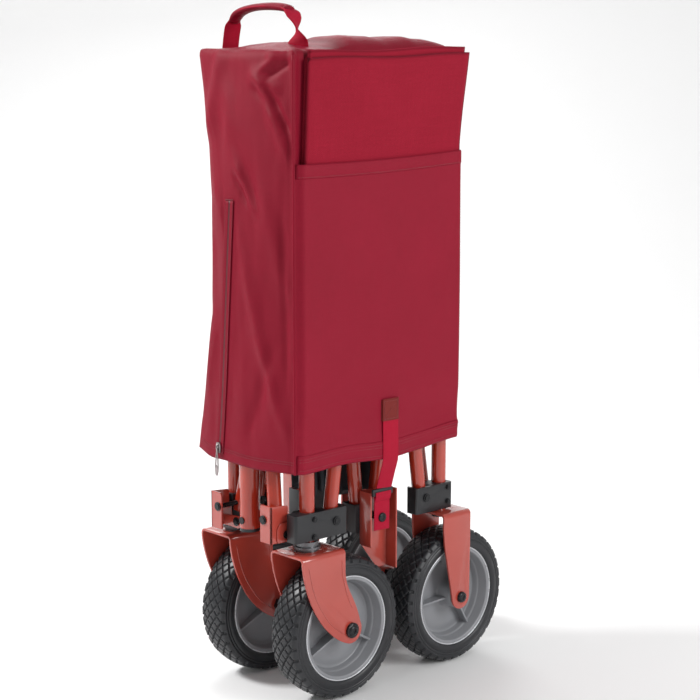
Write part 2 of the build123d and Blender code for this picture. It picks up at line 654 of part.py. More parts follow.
# The folded floor board stands in the pocket, leaning a little to the rear.
lean = sin(radians(MAT_TILT))
mat_right = COVER_REAR - 3
mat_face = POCKET_FACE + POCKET_SHEET + GAP
with BuildPart() as mat:
    with BuildSketch(Plane.XZ.offset(-mat_face)) as board:
        with BuildLine():
            foot = mat_right + (MAT_BOTTOM - 660) * lean
            head = mat_right + (MAT_TOP - 660) * lean
            Polyline(
                (foot, MAT_BOTTOM), (head, MAT_TOP), (head - MAT_WIDTH, MAT_TOP), (foot - MAT_WIDTH, MAT_BOTTOM),
                close=True,
            )
        make_face()
        fillet(board.vertices(), radius=6)
    extrude(amount=-MAT_THICK)
keep(mat, "floor_mat")

with BuildPart() as patch:
    block((STRAP_X - 14, POCKET_FACE - 0.6, 345), (STRAP_X + 14, POCKET_FACE, 371))
keep(patch, "hook_patch")


# ---------------------------------------------------------------- zip

FRONT_RADIUS = (((COVER_RIGHT - COVER_LEFT) / 2) ** 2 + COVER_BULGE**2) / (2 * COVER_BULGE)
FRONT_CENTRE = (COVER_FRONT - COVER_BULGE + FRONT_RADIUS, (COVER_LEFT + COVER_RIGHT) / 2)


def front_face_x(y):
    """x of the cover's bulged front face at a given y."""
    return FRONT_CENTRE[0] - sqrt(FRONT_RADIUS**2 - (y - FRONT_CENTRE[1]) ** 2)


zip_low = Vector(front_face_x(ZIP_LOW_YZ[0]), *ZIP_LOW_YZ)
zip_high = Vector(front_face_x(ZIP_HIGH_YZ[0]), *ZIP_HIGH_YZ)
zip_run = zip_high - zip_low
zip_middle_y = (ZIP_LOW_YZ[0] + ZIP_HIGH_YZ[0]) / 2
zip_out = Vector(front_face_x(zip_middle_y) - FRONT_CENTRE[0], zip_middle_y - FRONT_CENTRE[1], 0)
zip_out = zip_out.normalized()
zip_face = zip_out - zip_run * (zip_out.dot(zip_run) / zip_run.length**2)
zip_plane = Plane(origin=zip_low, x_dir=zip_run, z_dir=zip_face)


with BuildPart() as zip_track:
    with BuildSketch(zip_plane.offset(0.6)):
        with Locations((zip_run.length / 2, 0)):
            Rectangle(zip_run.length, ZIP_TAPE_W)
    extrude(amount=0.8)
    with BuildSketch(zip_plane.offset(1.4)):
        with Locations((zip_run.length / 2, 0)):
            Rectangle(zip_run.length, 5)
    extrude(amount=0.6)
keep(zip_track, "zip_track")

with BuildPart() as zip_slider:
    with BuildSketch(zip_plane.offset(2.3)):
        with Locations((9, 0)):
            Rectangle(13, 9)
    extrude(amount=2.4)
    with BuildSketch(zip_plane.offset(4.7)):
        with Locations((9, 0)):
            Rectangle(9, 3)
    extrude(amount=1.6)
    with BuildSketch(zip_plane.offset(4.7)):
        with Locations((-13, 0)):
            Rectangle(37, 6)
        with Locations((-27, 0)):
            Circle(1.8, mode=Mode.SUBTRACT)
    extrude(amount=1.4)
keep(zip_slider, "zip_slider")


# ---------------------------------------------------------------- carry handle

CARRY_X = -136
CARRY_Y = (-50, 78)
CARRY_FOOT = COVER_TOP + 2.3
CARRY_TOP = 849
CARRY_W = 28
CARRY_PIN_R = 1.9
web_t = 3
arch_low = CARRY_TOP - web_t
with BuildPart() as carry:
    # The webbing arch, seen along X.
    with BuildSketch(Plane.YZ.offset(CARRY_X - 14)):
        with BuildLine() as arch:
            FilletPolyline(
                (CARRY_Y[0], CARRY_FOOT), (CARRY_Y[0] + 6, CARRY_TOP - 1), (CARRY_Y[1] - 14, CARRY_TOP),
                (CARRY_Y[1], CARRY_FOOT), radius=14,
            )
            FilletPolyline(
                (CARRY_Y[0] + web_t, CARRY_FOOT), (CARRY_Y[0] + 6 + web_t, arch_low - 1),
                (CARRY_Y[1] - 14 - web_t, arch_low), (CARRY_Y[1] - web_t, CARRY_FOOT), radius=11,
            )
            Line((CARRY_Y[0], CARRY_FOOT), (CARRY_Y[0] + web_t, CARRY_FOOT))
            Line((CARRY_Y[1], CARRY_FOOT), (CARRY_Y[1] - web_t, CARRY_FOOT))
        make_face()
    extrude(amount=CARRY_W)
    # The feet are pinched narrow, down to a rolled end, so that the loop can flop over.
    for away in (-1, 1):
        with BuildSketch(Plane.XZ.offset(-120)):
            with BuildLine():
                Polyline(
                    (CARRY_X + away * 1.2, CARRY_FOOT - 1), (CARRY_X + away * 15, CARRY_FOOT + 22),
                    (CARRY_X + away * 20, CARRY_FOOT + 22), (CARRY_X + away * 20, CARRY_FOOT - 1),
                    close=True,
                )
            make_face()
        extrude(amount=240, mode=Mode.SUBTRACT)
    for foot_y in (CARRY_Y[0], CARRY_Y[1] - web_t):
        rod((CARRY_X, foot_y, CARRY_FOOT), (CARRY_X, foot_y + web_t, CARRY_FOOT), CARRY_PIN_R)
    # The wrapped sleeve in the hand's place.
    block((CARRY_X - 17, -18, CARRY_TOP - 7), (CARRY_X + 17, 44, CARRY_TOP + 2.5))
keep(carry, "carry_handle")


# ---------------------------------------------------------------- closing strap

strap_lo, strap_hi = STRAP_X - STRAP_W / 2, STRAP_X + STRAP_W / 2
strap_outer = STRAP_BACK_Y - STRAP_T
with BuildPart() as strap_lower:
    block((strap_lo, strap_outer, 203), (strap_hi, STRAP_BACK_Y, 254))
    rod((STRAP_X, -90, SNAP_Z), (STRAP_X, -80, SNAP_Z), 2, mode=Mode.SUBTRACT)
keep(strap_lower, "strap_lower")

with BuildPart() as strap_rivet:
    rod((STRAP_X, strap_outer, SNAP_Z), (STRAP_X, -64, SNAP_Z), 2)
    rod((STRAP_X, strap_outer - 1.7, SNAP_Z), (STRAP_X, strap_outer, SNAP_Z), 5)
    rod((STRAP_X, STRAP_BACK_Y, SNAP_Z), (STRAP_X, -66, SNAP_Z), 5, 2)
keep(strap_rivet, "strap_rivet")

with BuildPart() as strap_slide:
    block((strap_lo - 3, -87.5, 248), (strap_hi + 3, STRAP_BACK_Y, 256.5))
    slot = (strap_lo - 0.2, strap_outer - 0.2, 247), (strap_hi + 0.2, STRAP_BACK_Y + 0.2, 254)
    block(*slot, Mode.SUBTRACT)
keep(strap_slide, "strap_slide")

STRAP_FACE = POCKET_FACE - 0.6 - GAP
with BuildPart() as strap_upper:
    with BuildSketch(Plane.YZ.offset(strap_lo)):
        with BuildLine():
            Polyline(
                (STRAP_PIVOT[0] + STRAP_T / 2, STRAP_PIVOT[1]), (STRAP_FACE, 292), (STRAP_FACE, 373),
                (STRAP_FACE - STRAP_T, 373), (STRAP_FACE - STRAP_T, 291.5),
                (STRAP_PIVOT[0] - STRAP_T / 2, STRAP_PIVOT[1]), close=True,
            )
        make_face()
    extrude(amount=STRAP_W)
    rod((strap_lo, *STRAP_PIVOT), (strap_hi, *STRAP_PIVOT), STRAP_PIVOT_R)
keep(strap_upper, "strap_upper")
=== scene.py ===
import json
import math
from contextlib import contextmanager

import bmesh
import bpy
import numpy as np
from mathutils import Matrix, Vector, noise

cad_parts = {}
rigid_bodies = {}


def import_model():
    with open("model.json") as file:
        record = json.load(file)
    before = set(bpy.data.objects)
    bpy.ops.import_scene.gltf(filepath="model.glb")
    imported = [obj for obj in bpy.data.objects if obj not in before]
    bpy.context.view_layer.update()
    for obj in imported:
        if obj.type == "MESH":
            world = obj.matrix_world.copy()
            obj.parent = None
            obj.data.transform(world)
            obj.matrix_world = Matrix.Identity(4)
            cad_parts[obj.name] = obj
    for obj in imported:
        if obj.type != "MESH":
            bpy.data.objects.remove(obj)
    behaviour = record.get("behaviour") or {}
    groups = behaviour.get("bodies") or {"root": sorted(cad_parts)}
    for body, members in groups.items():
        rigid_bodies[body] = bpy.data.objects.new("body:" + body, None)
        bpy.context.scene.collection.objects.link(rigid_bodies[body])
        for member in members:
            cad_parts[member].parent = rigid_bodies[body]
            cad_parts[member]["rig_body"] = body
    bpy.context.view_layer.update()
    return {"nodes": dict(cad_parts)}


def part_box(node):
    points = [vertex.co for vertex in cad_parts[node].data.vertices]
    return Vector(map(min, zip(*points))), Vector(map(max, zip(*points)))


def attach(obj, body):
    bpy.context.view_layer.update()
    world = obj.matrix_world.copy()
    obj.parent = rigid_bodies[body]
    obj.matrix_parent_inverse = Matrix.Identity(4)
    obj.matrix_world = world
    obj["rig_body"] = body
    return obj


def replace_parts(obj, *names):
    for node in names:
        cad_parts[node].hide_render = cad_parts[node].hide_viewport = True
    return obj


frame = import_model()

# A folded garden wagon in its storage cover. Lengths in this script are in millimetres of the
# row frame until a mesh is made, when MM turns them into metres.
MM = 0.001
nodes = frame["nodes"]


def box(node):
    """Lowest and highest corner of a CAD node, in millimetres."""
    low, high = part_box(node)
    return low / MM, high / MM


COVER_LOW, COVER_HIGH = box("cover_shell")
POCKET_LOW, POCKET_HIGH = box("side_pocket")
MAT_LOW, MAT_HIGH = box("floor_mat")
CARRY_LOW, CARRY_HIGH = box("carry_handle")
STRAP_LOW, STRAP_HIGH = box("strap_upper")
LOWER_LOW, LOWER_HIGH = box("strap_lower")
PATCH_LOW, PATCH_HIGH = box("hook_patch")
ZIP_LOW, ZIP_HIGH = box("zip_track")
TUB_LOW, TUB_HIGH = box("fabric_tub")
SIDES = (("left", -1), ("right", 1))
WHEELS = [(end, side, sign) for end in ("front", "rear") for side, sign in SIDES]


def smooth(edge0, edge1, value):
    """0 below edge0, 1 above edge1, and a smooth step between."""
    t = np.clip((value - edge0) / (edge1 - edge0), 0.0, 1.0)
    return t * t * (3 - 2 * t)


def unit(vector):
    return vector / np.linalg.norm(vector)


def turns(count):
    """That many angles round a circle."""
    return np.linspace(0, 2 * math.pi, count, endpoint=False)


def run_lengths(path):
    """How far along a path each of its points lies."""
    return np.concatenate([[0], np.cumsum(np.linalg.norm(np.diff(path, axis=0), axis=1))])


def relaxed(path, passes, weight=2):
    """A path with each inner point averaged with its neighbours, passes times over."""
    path = np.array(path, float)
    for _ in range(passes):
        path[1:-1] = (path[:-2] + path[1:-1] * weight + path[2:]) / (weight + 2)
    return path


def resampled(corners, count):
    """A polyline with its points multiplied, as many between each two corners."""
    corners = np.asarray(corners, float)
    t = np.linspace(0, len(corners) - 1, count)
    return np.stack([np.interp(t, range(len(corners)), column) for column in corners.T], -1)


# ---------------------------------------------------------------- materials


def add_node(tree, kind, inputs=None, **settings):
    made = tree.nodes.new("ShaderNode" + kind)
    for key, value in settings.items():
        setattr(made, key, value)
    for key, value in (inputs or {}).items():
        if isinstance(value, bpy.types.NodeSocket):
            tree.links.new(value, made.inputs[key])
        else:
            made.inputs[key].default_value = value
    return made


def maths(tree, operation, a, b=0.0):
    return add_node(tree, "Math", {0: a, 1: b}, operation=operation).outputs[0]


def coloured(tree, shader, factor, dark, light):
    """Blend the shader's colour from dark to light by a factor."""
    mixed = add_node(tree, "Mix", {0: factor, 6: (*dark, 1), 7: (*light, 1)}, data_type="RGBA")
    tree.links.new(mixed.outputs[2], shader.inputs["Base Color"])


def noise_value(tree, where, scale, detail=2.0):
    made = add_node(tree, "TexNoise", {"Vector": where, "Scale": scale, "Detail": detail})
    return made.outputs["Fac"]


def stretched(tree, where, scale):
    return add_node(tree, "Mapping", {"Vector": where, "Scale": scale}).outputs[0]


def begin(name, roughness, sockets=None):
    material = bpy.data.materials.new(name)
    material.use_nodes = True
    shader = material.node_tree.nodes["Principled BSDF"]
    shader.inputs["Roughness"].default_value = roughness
    for key, value in (sockets or {}).items():
        shader.inputs[key].default_value = value
    return material, material.node_tree, shader


def bumped(tree, shader, height, strength, distance):
    made = add_node(tree, "Bump", {"Height": height, "Strength": strength, "Distance": distance})
    tree.links.new(made.outputs[0], shader.inputs["Normal"])


def object_coords(tree):
    return add_node(tree, "TexCoord").outputs["Object"]


def woven(name, light, dark, pitch, depth, roughness, sheen, rib=0.0):
    """Cloth: a plain weave of the given pitch (metres), slubs in both yarns and a faint cloudiness."""
    tint = (*[c ** 0.35 for c in light], 1)
    sockets = {"Sheen Weight": sheen, "Sheen Roughness": 0.4, "Sheen Tint": tint, "Specular IOR Level": 0.13}
    material, tree, shader = begin(name, roughness, sockets)
    cloth = add_node(tree, "UVMap", uv_map="cloth").outputs[0]
    split = add_node(tree, "SeparateXYZ", {0: cloth}).outputs
    turn = 2 * math.pi / pitch
    across = maths(tree, "SINE", maths(tree, "MULTIPLY", split[0], turn))
    along = maths(tree, "SINE", maths(tree, "MULTIPLY", split[1], turn * (1 - rib)))
    weave = maths(tree, "MULTIPLY", across, along)
    fine, stretch = 1 / pitch, 0.05 / pitch
    warp = noise_value(tree, stretched(tree, cloth, (fine, stretch, 1)), 1.0)
    weft = noise_value(tree, stretched(tree, cloth, (stretch, fine, 1)), 1.0)
    slub = maths(tree, "ADD", warp, weft)
    cloud = noise_value(tree, object_coords(tree), 9.0, 3.0)
    tone = 0.5
    for value, middle, share in ((weave, 0.0, 0.10), (slub, 1.0, 0.45), (cloud, 0.5, 0.6)):
        tone = maths(tree, "ADD", maths(tree, "MULTIPLY", maths(tree, "SUBTRACT", value, middle), share), tone)
    clamped = add_node(tree, "Clamp", {0: tone}).outputs[0]
    coloured(tree, shader, clamped, dark, light)
    height = maths(tree, "ADD", weave, maths(tree, "MULTIPLY", slub, 1.2))
    bumped(tree, shader, height, 0.5, depth)
    return material


def skin(tree, shader, light, dark, drift, scuff):
    """Colour drift and uneven gloss; each is a noise scale, its detail, and for gloss its gain and base."""
    where = object_coords(tree)
    coloured(tree, shader, noise_value(tree, where, *drift), dark, light)
    scale, detail, gain, base = scuff
    rough = maths(tree, "ADD", maths(tree, "MULTIPLY", noise_value(tree, where, scale, detail), gain), base)
    tree.links.new(rough, shader.inputs["Roughness"])
    return where


def painted(name, light, dark):
    """Gloss powder coat with a fine orange peel and slightly dulled patches."""
    material, tree, shader = begin(name, 0.3, {"Coat Weight": 0.6, "Coat Roughness": 0.06})
    where = skin(tree, shader, light, dark, (26.0, 4.0), (70.0, 3.0, 0.16, 0.14))
    bumped(tree, shader, noise_value(tree, where, 620.0, 1.0), 0.12, 0.0004)
    return material


def moulded(name, light, dark, roughness, grain, metallic=0.0):
    """Moulded plastic, rubber or cast metal: a stippled skin, scuffs and a little colour drift."""
    material, tree, shader = begin(name, roughness, {"Metallic": metallic})
    where = skin(tree, shader, light, dark, (18.0, 5.0), (90.0, 4.0, 0.3, roughness - 0.15))
    bumped(tree, shader, noise_value(tree, where, grain, 2.0), 0.25, 0.0003)
    return material


def threads(name, colour):
    """Sewing thread: twisted strands along each stitch."""
    material, tree, shader = begin(name, 0.6, {"Sheen Weight": 0.3})
    where = object_coords(tree)
    strand = noise_value(tree, where, 1500.0, 1.0)
    pale = tuple(min(1.0, c * 1.6 + 0.01) for c in colour)
    coloured(tree, shader, strand, colour, pale)
    return material


COVER_CLOTH = woven("cover_cloth", (0.25, 0.0052, 0.022), (0.17, 0.0030, 0.013), 0.0011, 0.00012, 0.52, 0.06)
POCKET_CLOTH = woven("pocket_cloth", (0.28, 0.0075, 0.027), (0.20, 0.0045, 0.016), 0.0011, 0.00012, 0.56, 0.06)
MAT_CLOTH = woven("mat_cloth", (0.31, 0.0105, 0.029), (0.23, 0.0065, 0.019), 0.0024, 0.0003, 0.85, 0.08)
# Dark grey instead of the tub's red cloth: painted shade, standing in for the dark gaps under the cover and
# between the tubes.
TUB_CLOTH_PAINTED_SHADE = woven("tub_cloth_painted_shade", (0.050, 0.053, 0.060), (0.020, 0.022, 0.026), 0.0016, 0.0003, 0.85, 0.05)
WEBBING = woven("webbing_weave", (0.44, 0.0050, 0.032), (0.29, 0.0028, 0.017), 0.0018, 0.0004, 0.6, 0.1, 0.45)
HOOK_TAPE = woven("hook_tape_weave", (0.24, 0.034, 0.030), (0.14, 0.016, 0.015), 0.0013, 0.0005, 0.8, 0.1)
PAINT = painted("frame_gloss", (0.43, 0.034, 0.015), (0.34, 0.024, 0.010))
# The frame's red powder coat again, made paler and pinker: the salmon tone is painted reflection of the white
# surroundings.
PAINT_WITH_PAINTED_REFLECTION = painted("frame_gloss_painted_reflection", (0.42, 0.055, 0.038), (0.35, 0.042, 0.028))
RUBBER = moulded("tyre_rubber", (0.013, 0.014, 0.018), (0.0065, 0.007, 0.009), 0.42, 900.0)
HUB_GREY = moulded("hub_moulding", (0.27, 0.275, 0.29), (0.19, 0.195, 0.21), 0.36, 1400.0, 0.1)
RING_GREY = moulded("rim_ring_moulding", (0.68, 0.69, 0.72), (0.55, 0.56, 0.58), 0.30, 1400.0, 0.3)
BLACK = moulded("black_moulding", (0.012, 0.0125, 0.015), (0.007, 0.0073, 0.009), 0.38, 1100.0)
BOLT = moulded("bolt_black", (0.030, 0.030, 0.033), (0.010, 0.010, 0.011), 0.26, 500.0, 0.6)
BEARING = moulded("bearing_dark_steel", (0.20, 0.20, 0.21), (0.08, 0.08, 0.085), 0.30, 500.0, 0.8)
ZIP_METAL = moulded("zip_metal", (0.42, 0.38, 0.38), (0.28, 0.24, 0.24), 0.28, 500.0, 0.9)
COIL = moulded("zip_coil", (0.10, 0.005, 0.010), (0.05, 0.0025, 0.006), 0.45, 800.0)
THREAD = threads("seam_thread", (0.15, 0.005, 0.012))


# ---------------------------------------------------------------- making pieces


def place(obj, body, slot, *replaced):
    """Ride on a body, and stand for CAD nodes; slot is not used."""
    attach(obj, body)
    if replaced:
        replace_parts(obj, *replaced)
    return obj


def new_object(name, points, faces, material):
    """A mesh object from points in millimetres."""
    mesh = bpy.data.meshes.new(name)
    scaled = np.asarray(points, float).reshape(-1, 3) * MM
    mesh.from_pydata(scaled.tolist(), [], faces)
    mesh.polygons.foreach_set("use_smooth", [True] * len(mesh.polygons))
    mesh.materials.append(material)
    mesh.update()
    obj = bpy.data.objects.new(name, mesh)
    bpy.context.scene.collection.objects.link(obj)
    return obj


def grid_faces(rows, columns, wrap_columns, wrap_rows=False):
    faces = []
    for i in range(rows if wrap_rows else rows - 1):
        for j in range(columns if wrap_columns else columns - 1):
            down, right = (i + 1) % rows, (j + 1) % columns
            faces.append((i * columns + j, i * columns + right, down * columns + right, down * columns + j))
    return faces


def lay_cloth(obj, across, along, columns, wrap_columns):
    """Give a grid mesh its cloth coordinates: metres along the weave."""
    layer = obj.data.uv_layers.new(name="cloth")
    quads_per_row = columns if wrap_columns else columns - 1
    values = []
    for index in range(len(obj.data.polygons)):
        i, j = divmod(index, quads_per_row)
        u0, u1 = across[j] * MM, across[j + 1] * MM
        v0, v1 = along[i] * MM, along[i + 1] * MM
        values += [u0, v0, u1, v0, u1, v1, u0, v1]
    layer.data.foreach_set("uv", values)


def cloth(name, rows, material, wrap=False, thickness=1.2):
    """A sheet from rows of points, with cloth coordinates and a real thickness inward."""
    rows = np.asarray(rows, float)
    count, columns = rows.shape[:2]
    obj = new_object(name, rows, grid_faces(count, columns, wrap), material)
    middle_row = rows[count // 2]
    across = run_lengths(np.vstack([middle_row, middle_row[:1]]))
    along = run_lengths(rows[:, columns // 2])
    lay_cloth(obj, across, along, columns, wrap)
    if thickness:
        solid = obj.modifiers.new("thickness", "SOLIDIFY")
        solid.thickness = thickness * MM
        solid.offset = -1
    return obj


def closed_tube(name, rows, material):
    """A tube skinned over rings of points, with both ends capped."""
    count, columns = rows.shape[:2]
    faces = grid_faces(count, columns, True)
    faces.append(tuple(range(columns))[::-1])
    faces.append(tuple((count - 1) * columns + k for k in range(columns)))
    return new_object(name, rows, faces, material)


def ribbon(name, path, width_dirs, half, thick, material, segments=6):
    """Webbing: a flat band with rounded edges swept along path; half may be one number or one per point."""
    path = np.asarray(path, float)
    halves = np.broadcast_to(np.asarray(half, float), (len(path),))
    dirs = np.broadcast_to(np.asarray(width_dirs, float), path.shape)
    rows = []
    for point, wide, run, reach in zip(path, dirs, np.gradient(path, axis=0), halves):
        run = unit(run)
        wide = unit(wide - run * wide.dot(run))
        out = np.cross(wide, run)
        ring = []
        for side in (1, -1):
            for angle in np.arange(segments + 1) * math.pi / segments:
                across = side * (reach - thick / 2 + math.sin(angle) * thick / 2)
                ring.append(point + wide * across + out * side * math.cos(angle) * thick / 2)
        rows.append(ring)
    rows = np.array(rows)
    columns = rows.shape[1]
    obj = closed_tube(name, rows, material)
    layer = obj.data.uv_layers.new(name="cloth")
    around, length = run_lengths(rows[0]), run_lengths(path)
    for loop in obj.data.loops:
        i, j = divmod(loop.vertex_index, columns)
        layer.data[loop.index].uv = (around[j] * MM, length[i] * MM)
    return obj


def lathe(name, profile, centre, steps, material, shape=None):
    """Turn a closed profile of (radius, y) about the wheel axis; shape may move each (angle, radius, y)."""
    profile = np.asarray(profile, float)
    angles = turns(steps)
    turn, radius = np.meshgrid(angles, profile[:, 0], indexing="ij")
    _, offset = np.meshgrid(angles, profile[:, 1], indexing="ij")
    if shape:
        radius, offset = shape(turn, radius, offset)
    points = np.stack([radius * np.cos(turn), offset, radius * np.sin(turn)], -1) + np.array(centre)
    return new_object(name, points, grid_faces(steps, len(profile), True, True), material)


@contextmanager
def reworked(mesh):
    """A bmesh of a mesh, written back when the work is done."""
    work = bmesh.new()
    work.from_mesh(mesh)
    yield work
    work.to_mesh(mesh)
    work.free()


def tidy_normals(obj):
    with reworked(obj.data) as work:
        bmesh.ops.recalc_face_normals(work, faces=work.faces)


def sweep(name, path, radius, material, sides=10, squash=1.0, up=(0, 0, 1)):
    """A round or flattened bar along path; radius may be one number or one per point."""
    path = np.asarray(path, float)
    radii = np.broadcast_to(np.asarray(radius, float), (len(path),))
    rows = []
    for point, run, size in zip(path, np.gradient(path, axis=0), radii):
        run = unit(run)
        side = unit(np.cross(run, up))
        over = np.cross(side, run)
        rows.append([point + side * size * math.cos(a) + over * size * squash * math.sin(a)
                     for a in turns(sides)])
    obj = closed_tube(name, np.array(rows), material)
    tidy_normals(obj)
    return obj


def apply_modifiers(obj):
    """Bake an object's modifiers into its mesh."""
    graph = bpy.context.evaluated_depsgraph_get()
    mesh = bpy.data.meshes.new_from_object(obj.evaluated_get(graph))
    obj.modifiers.clear()
    obj.data = mesh


def joined(name, parts):
    """One object from several, in the first one's material order."""
    bpy.ops.object.select_all(action="DESELECT")
    for part in parts:
        part.select_set(True)
    bpy.context.view_layer.objects.active = parts[0]
    bpy.ops.object.join()
    parts[0].name = name
    return parts[0]


def rolled_edges(obj, width, angle):
    """Bevel the edges sharper than angle (degrees) to width (mm)."""
    edge = obj.modifiers.new("edge", "BEVEL")
    edge.width = width * MM
    edge.segments = 3
    edge.limit_method = "ANGLE"
    edge.angle_limit = math.radians(angle)
    edge.harden_normals = True


def slab(name, corners, thick, direction, material, bevel=0.6):
    """A bevelled plate from an outline, extruded along direction."""
    count = len(corners)
    base = np.asarray(corners, float)
    top = base + np.asarray(direction, float) * thick
    faces = [tuple(range(count))[::-1], tuple(range(count, 2 * count))]
    faces += [(i, (i + 1) % count, count + (i + 1) % count, count + i) for i in range(count)]
    obj = new_object(name, np.vstack([base, top]), faces, material)
    tidy_normals(obj)
    rolled_edges(obj, bevel, 30)
    return obj


def softened(node, width, material, angle):
    """A copy of a CAD node with its sharp edges rolled over; it stands for the node."""
    mesh = nodes[node].data.copy()
    obj = bpy.data.objects.new(node + "_finished", mesh)
    bpy.context.scene.collection.objects.link(obj)
    with reworked(mesh) as work:
        bmesh.ops.remove_doubles(work, verts=work.verts, dist=0.01 * MM)
        bmesh.ops.dissolve_limit(work, angle_limit=math.radians(0.6), verts=work.verts, edges=work.edges)
        for face in work.faces:
            face.smooth = True
    mesh.materials.clear()
    mesh.materials.append(material)
    rolled_edges(obj, width, angle)
    return obj


STITCH_SIDES = 6
STITCH_RINGS = ((0.35, -0.3), (1.0, 0.5), (1.0, 0.5), (0.35, -0.3))


def stitch_line(name, path, outward, pitch=3.4, length=2.4, radius=0.28):
    """A row of short thread stitches along a path, standing on the cloth."""
    path = np.asarray(path, float)
    outward = np.asarray(outward, float)
    run = run_lengths(path)
    points, faces = [], []
    for start in np.arange(0.5, run[-1] - length, pitch):
        ends = [np.array([np.interp(s, run, path[:, k]) for k in range(3)])
                for s in np.linspace(start, start + length, len(STITCH_RINGS))]
        side = np.cross(unit(ends[-1] - ends[0]), outward)
        side = side / max(np.linalg.norm(side), 1e-6)
        base = len(points)
        for end, (size, rise) in zip(ends, STITCH_RINGS):
            for a in range(STITCH_SIDES):
                angle = a * math.pi / 3
                around = side * math.cos(angle) + outward * math.sin(angle)
                points.append(end + outward * radius * rise + around * radius * size)
        for quad in grid_faces(len(STITCH_RINGS), STITCH_SIDES, True):
            faces.append(tuple(base + k for k in quad))
        faces.append(tuple(base + a for a in range(STITCH_SIDES))[::-1])
        faces.append(tuple(base + 3 * STITCH_SIDES + a for a in range(STITCH_SIDES)))
    return new_object(name, points, faces, THREAD)


def sew(name, path, outward, *sizes, body="cover", slot="cover_fabric"):
    """Stitches along a path, riding on a body; sizes are pitch, length and radius."""
    place(stitch_line(name, path, outward, *sizes), body, slot)


# ---------------------------------------------------------------- wheels

TREAD_HALF, PITCHES = 18.5, 36
BLOCK_ACROSS, TREAD_DEPTH = 12.4, 2.6
RIM_RING = ((64.5, 19.8), (64.7, 20.9), (65.2, 21.3), (65.9, 21.1), (66.3, 20.3), (65.8, 19.0), (64.8, 19.0))
RIB_WIDTH = 3.0
FIRST_RIB = {"front": 90, "rear": 66}


def tyre_profile():
    """Half outline from the bead out to the shoulder, the tread, and the mirrored half."""
    wall = [(66, 12), (66, 19.4), (66.8, 21.3), (68.5, 22.4), (71, 23), (76.2, 23), (76.5, 22.5), (76.9, 22.5),
            (77.2, 23), (79.4, 23), (79.7, 22.4), (80.2, 22.4), (80.5, 22.9), (82.4, 22.6), (82.9, 22.3)]
    shoulder = [(84.4, 21.7), (85.6, 21.0), (86.6, 20.1), (87.3, 19.2)]
    tread = [(87.6 + 2.4 * (1 - (y / TREAD_HALF) ** 2), y) for y in np.linspace(TREAD_HALF, -TREAD_HALF, 53)]
    mirrored = [(r, -y) for r, y in (wall + shoulder)[::-1]]
    return wall + shoulder + tread + mirrored


def tread(turn, radius, offset):
    """Sink the diagonal grooves between diamond blocks, and notch the shoulders."""
    u = turn * PITCHES / (2 * math.pi)
    v = offset / BLOCK_ACROSS
    groove = np.minimum(np.abs((u + v) - np.round(u + v)), np.abs((u - v) - np.round(u - v)))
    on_tread = 1 - smooth(TREAD_HALF - 1.6, TREAD_HALF + 0.2, np.abs(offset))
    block = smooth(0.055, 0.10, groove)
    radius = radius - on_tread * (1 - block) * TREAD_DEPTH * (radius > 84)
    notch = np.abs(u - np.floor(u) - 0.5)
    shoulder = smooth(TREAD_HALF - 0.8, TREAD_HALF + 0.6, np.abs(offset)) * (radius > 83.2)
    cut = (1 - smooth(0.11, 0.17, notch)) * shoulder
    return radius - cut * 2.2, offset - np.sign(offset) * cut * 1.3


def hub_profile():
    """Rim, deep dish with a step, web and boss on the outer face; a shallower inner face."""
    return [(6.4, 24.5), (12, 24.5), (14.6, 23.6), (15.6, 22), (16.2, 4), (17.5, 2.2), (20, 1.6), (40, 1),
            (50, -0.6), (54.5, -1.6), (55.6, -0.6), (56.2, 6), (57.6, 7), (58.6, 8), (60.2, 19), (60.9, 20),
            (62, 20.4), (64, 20.4), (66, 19.2), (66, -19.2), (64, -20.4), (62, -20.4), (60.9, -20),
            (60.2, -19), (58.6, -9), (57, -7.6), (52, -6), (40, -4.6), (20, -4), (17, -5), (16, -22),
            (15, -24), (12, -24.5), (6.4, -24.5)]


def spoke(degrees):
    """Directions out along a spoke of the wheel, and across it."""
    angle = math.radians(degrees)
    return np.array([math.cos(angle), 0, math.sin(angle)]), np.array([-math.sin(angle), 0, math.cos(angle)])


def wheel(end, side, sign):
    """A treaded tyre, a dished hub with six ribs and a pad, and a bright ring on each face."""
    body, tag = f"wheel_{end}_{side}", f"{end}_{side}"
    low, high = box(f"tyre_{tag}")
    centre = np.array((low + high) / 2)
    tyre = lathe(f"tyre_treaded_{tag}", tyre_profile(), centre, PITCHES * 18, RUBBER, tread)
    tidy_normals(tyre)
    place(tyre, body, "tyre", f"tyre_{tag}")
    parts = [lathe(f"hub_turned_{tag}", [(r, y * sign) for r, y in hub_profile()], centre, 120, HUB_GREY)]
    for k in range(3):
        way, across = spoke(FIRST_RIB[end] + 120 * k)
        for face, foot, near, far in ((1, 0, 17, 11), (-1, -5, -18, -12)):
            outline = [centre + way * reach + np.array((0, sign * height, 0)) - across * RIB_WIDTH / 2
                       for reach, height in ((14, foot), (57.5, foot - face), (57.5, far), (15, near))]
            parts.append(slab("rib", outline, RIB_WIDTH, across, HUB_GREY, 0.8))
    way, across = spoke(FIRST_RIB[end] + 30)
    pad = [centre + way * reach + across * wide + np.array((0, sign * -2.0, 0))
           for reach, wide in ((43, -6), (53, -6), (53, 6), (43, 6))]
    parts.append(slab("pad", pad, 5.5, (0, sign, 0), HUB_GREY, 0.9))
    for part in parts:
        tidy_normals(part)
    for part in parts[1:]:
        apply_modifiers(part)
    place(joined(f"hub_dished_{tag}", parts), body, "hub_plastic", f"wheel_hub_{tag}")
    for face, way in ((1, "out"), (-1, "in")):
        profile = [(r, y * sign * face) for r, y in RIM_RING]
        ring = lathe(f"rim_ring_{tag}_{way}", profile, centre, 160, RING_GREY)
        tidy_normals(ring)
        place(ring, body, "hub_plastic")


for end, side, sign in WHEELS:
    wheel(end, side, sign)


# ---------------------------------------------------------------- forks and axles


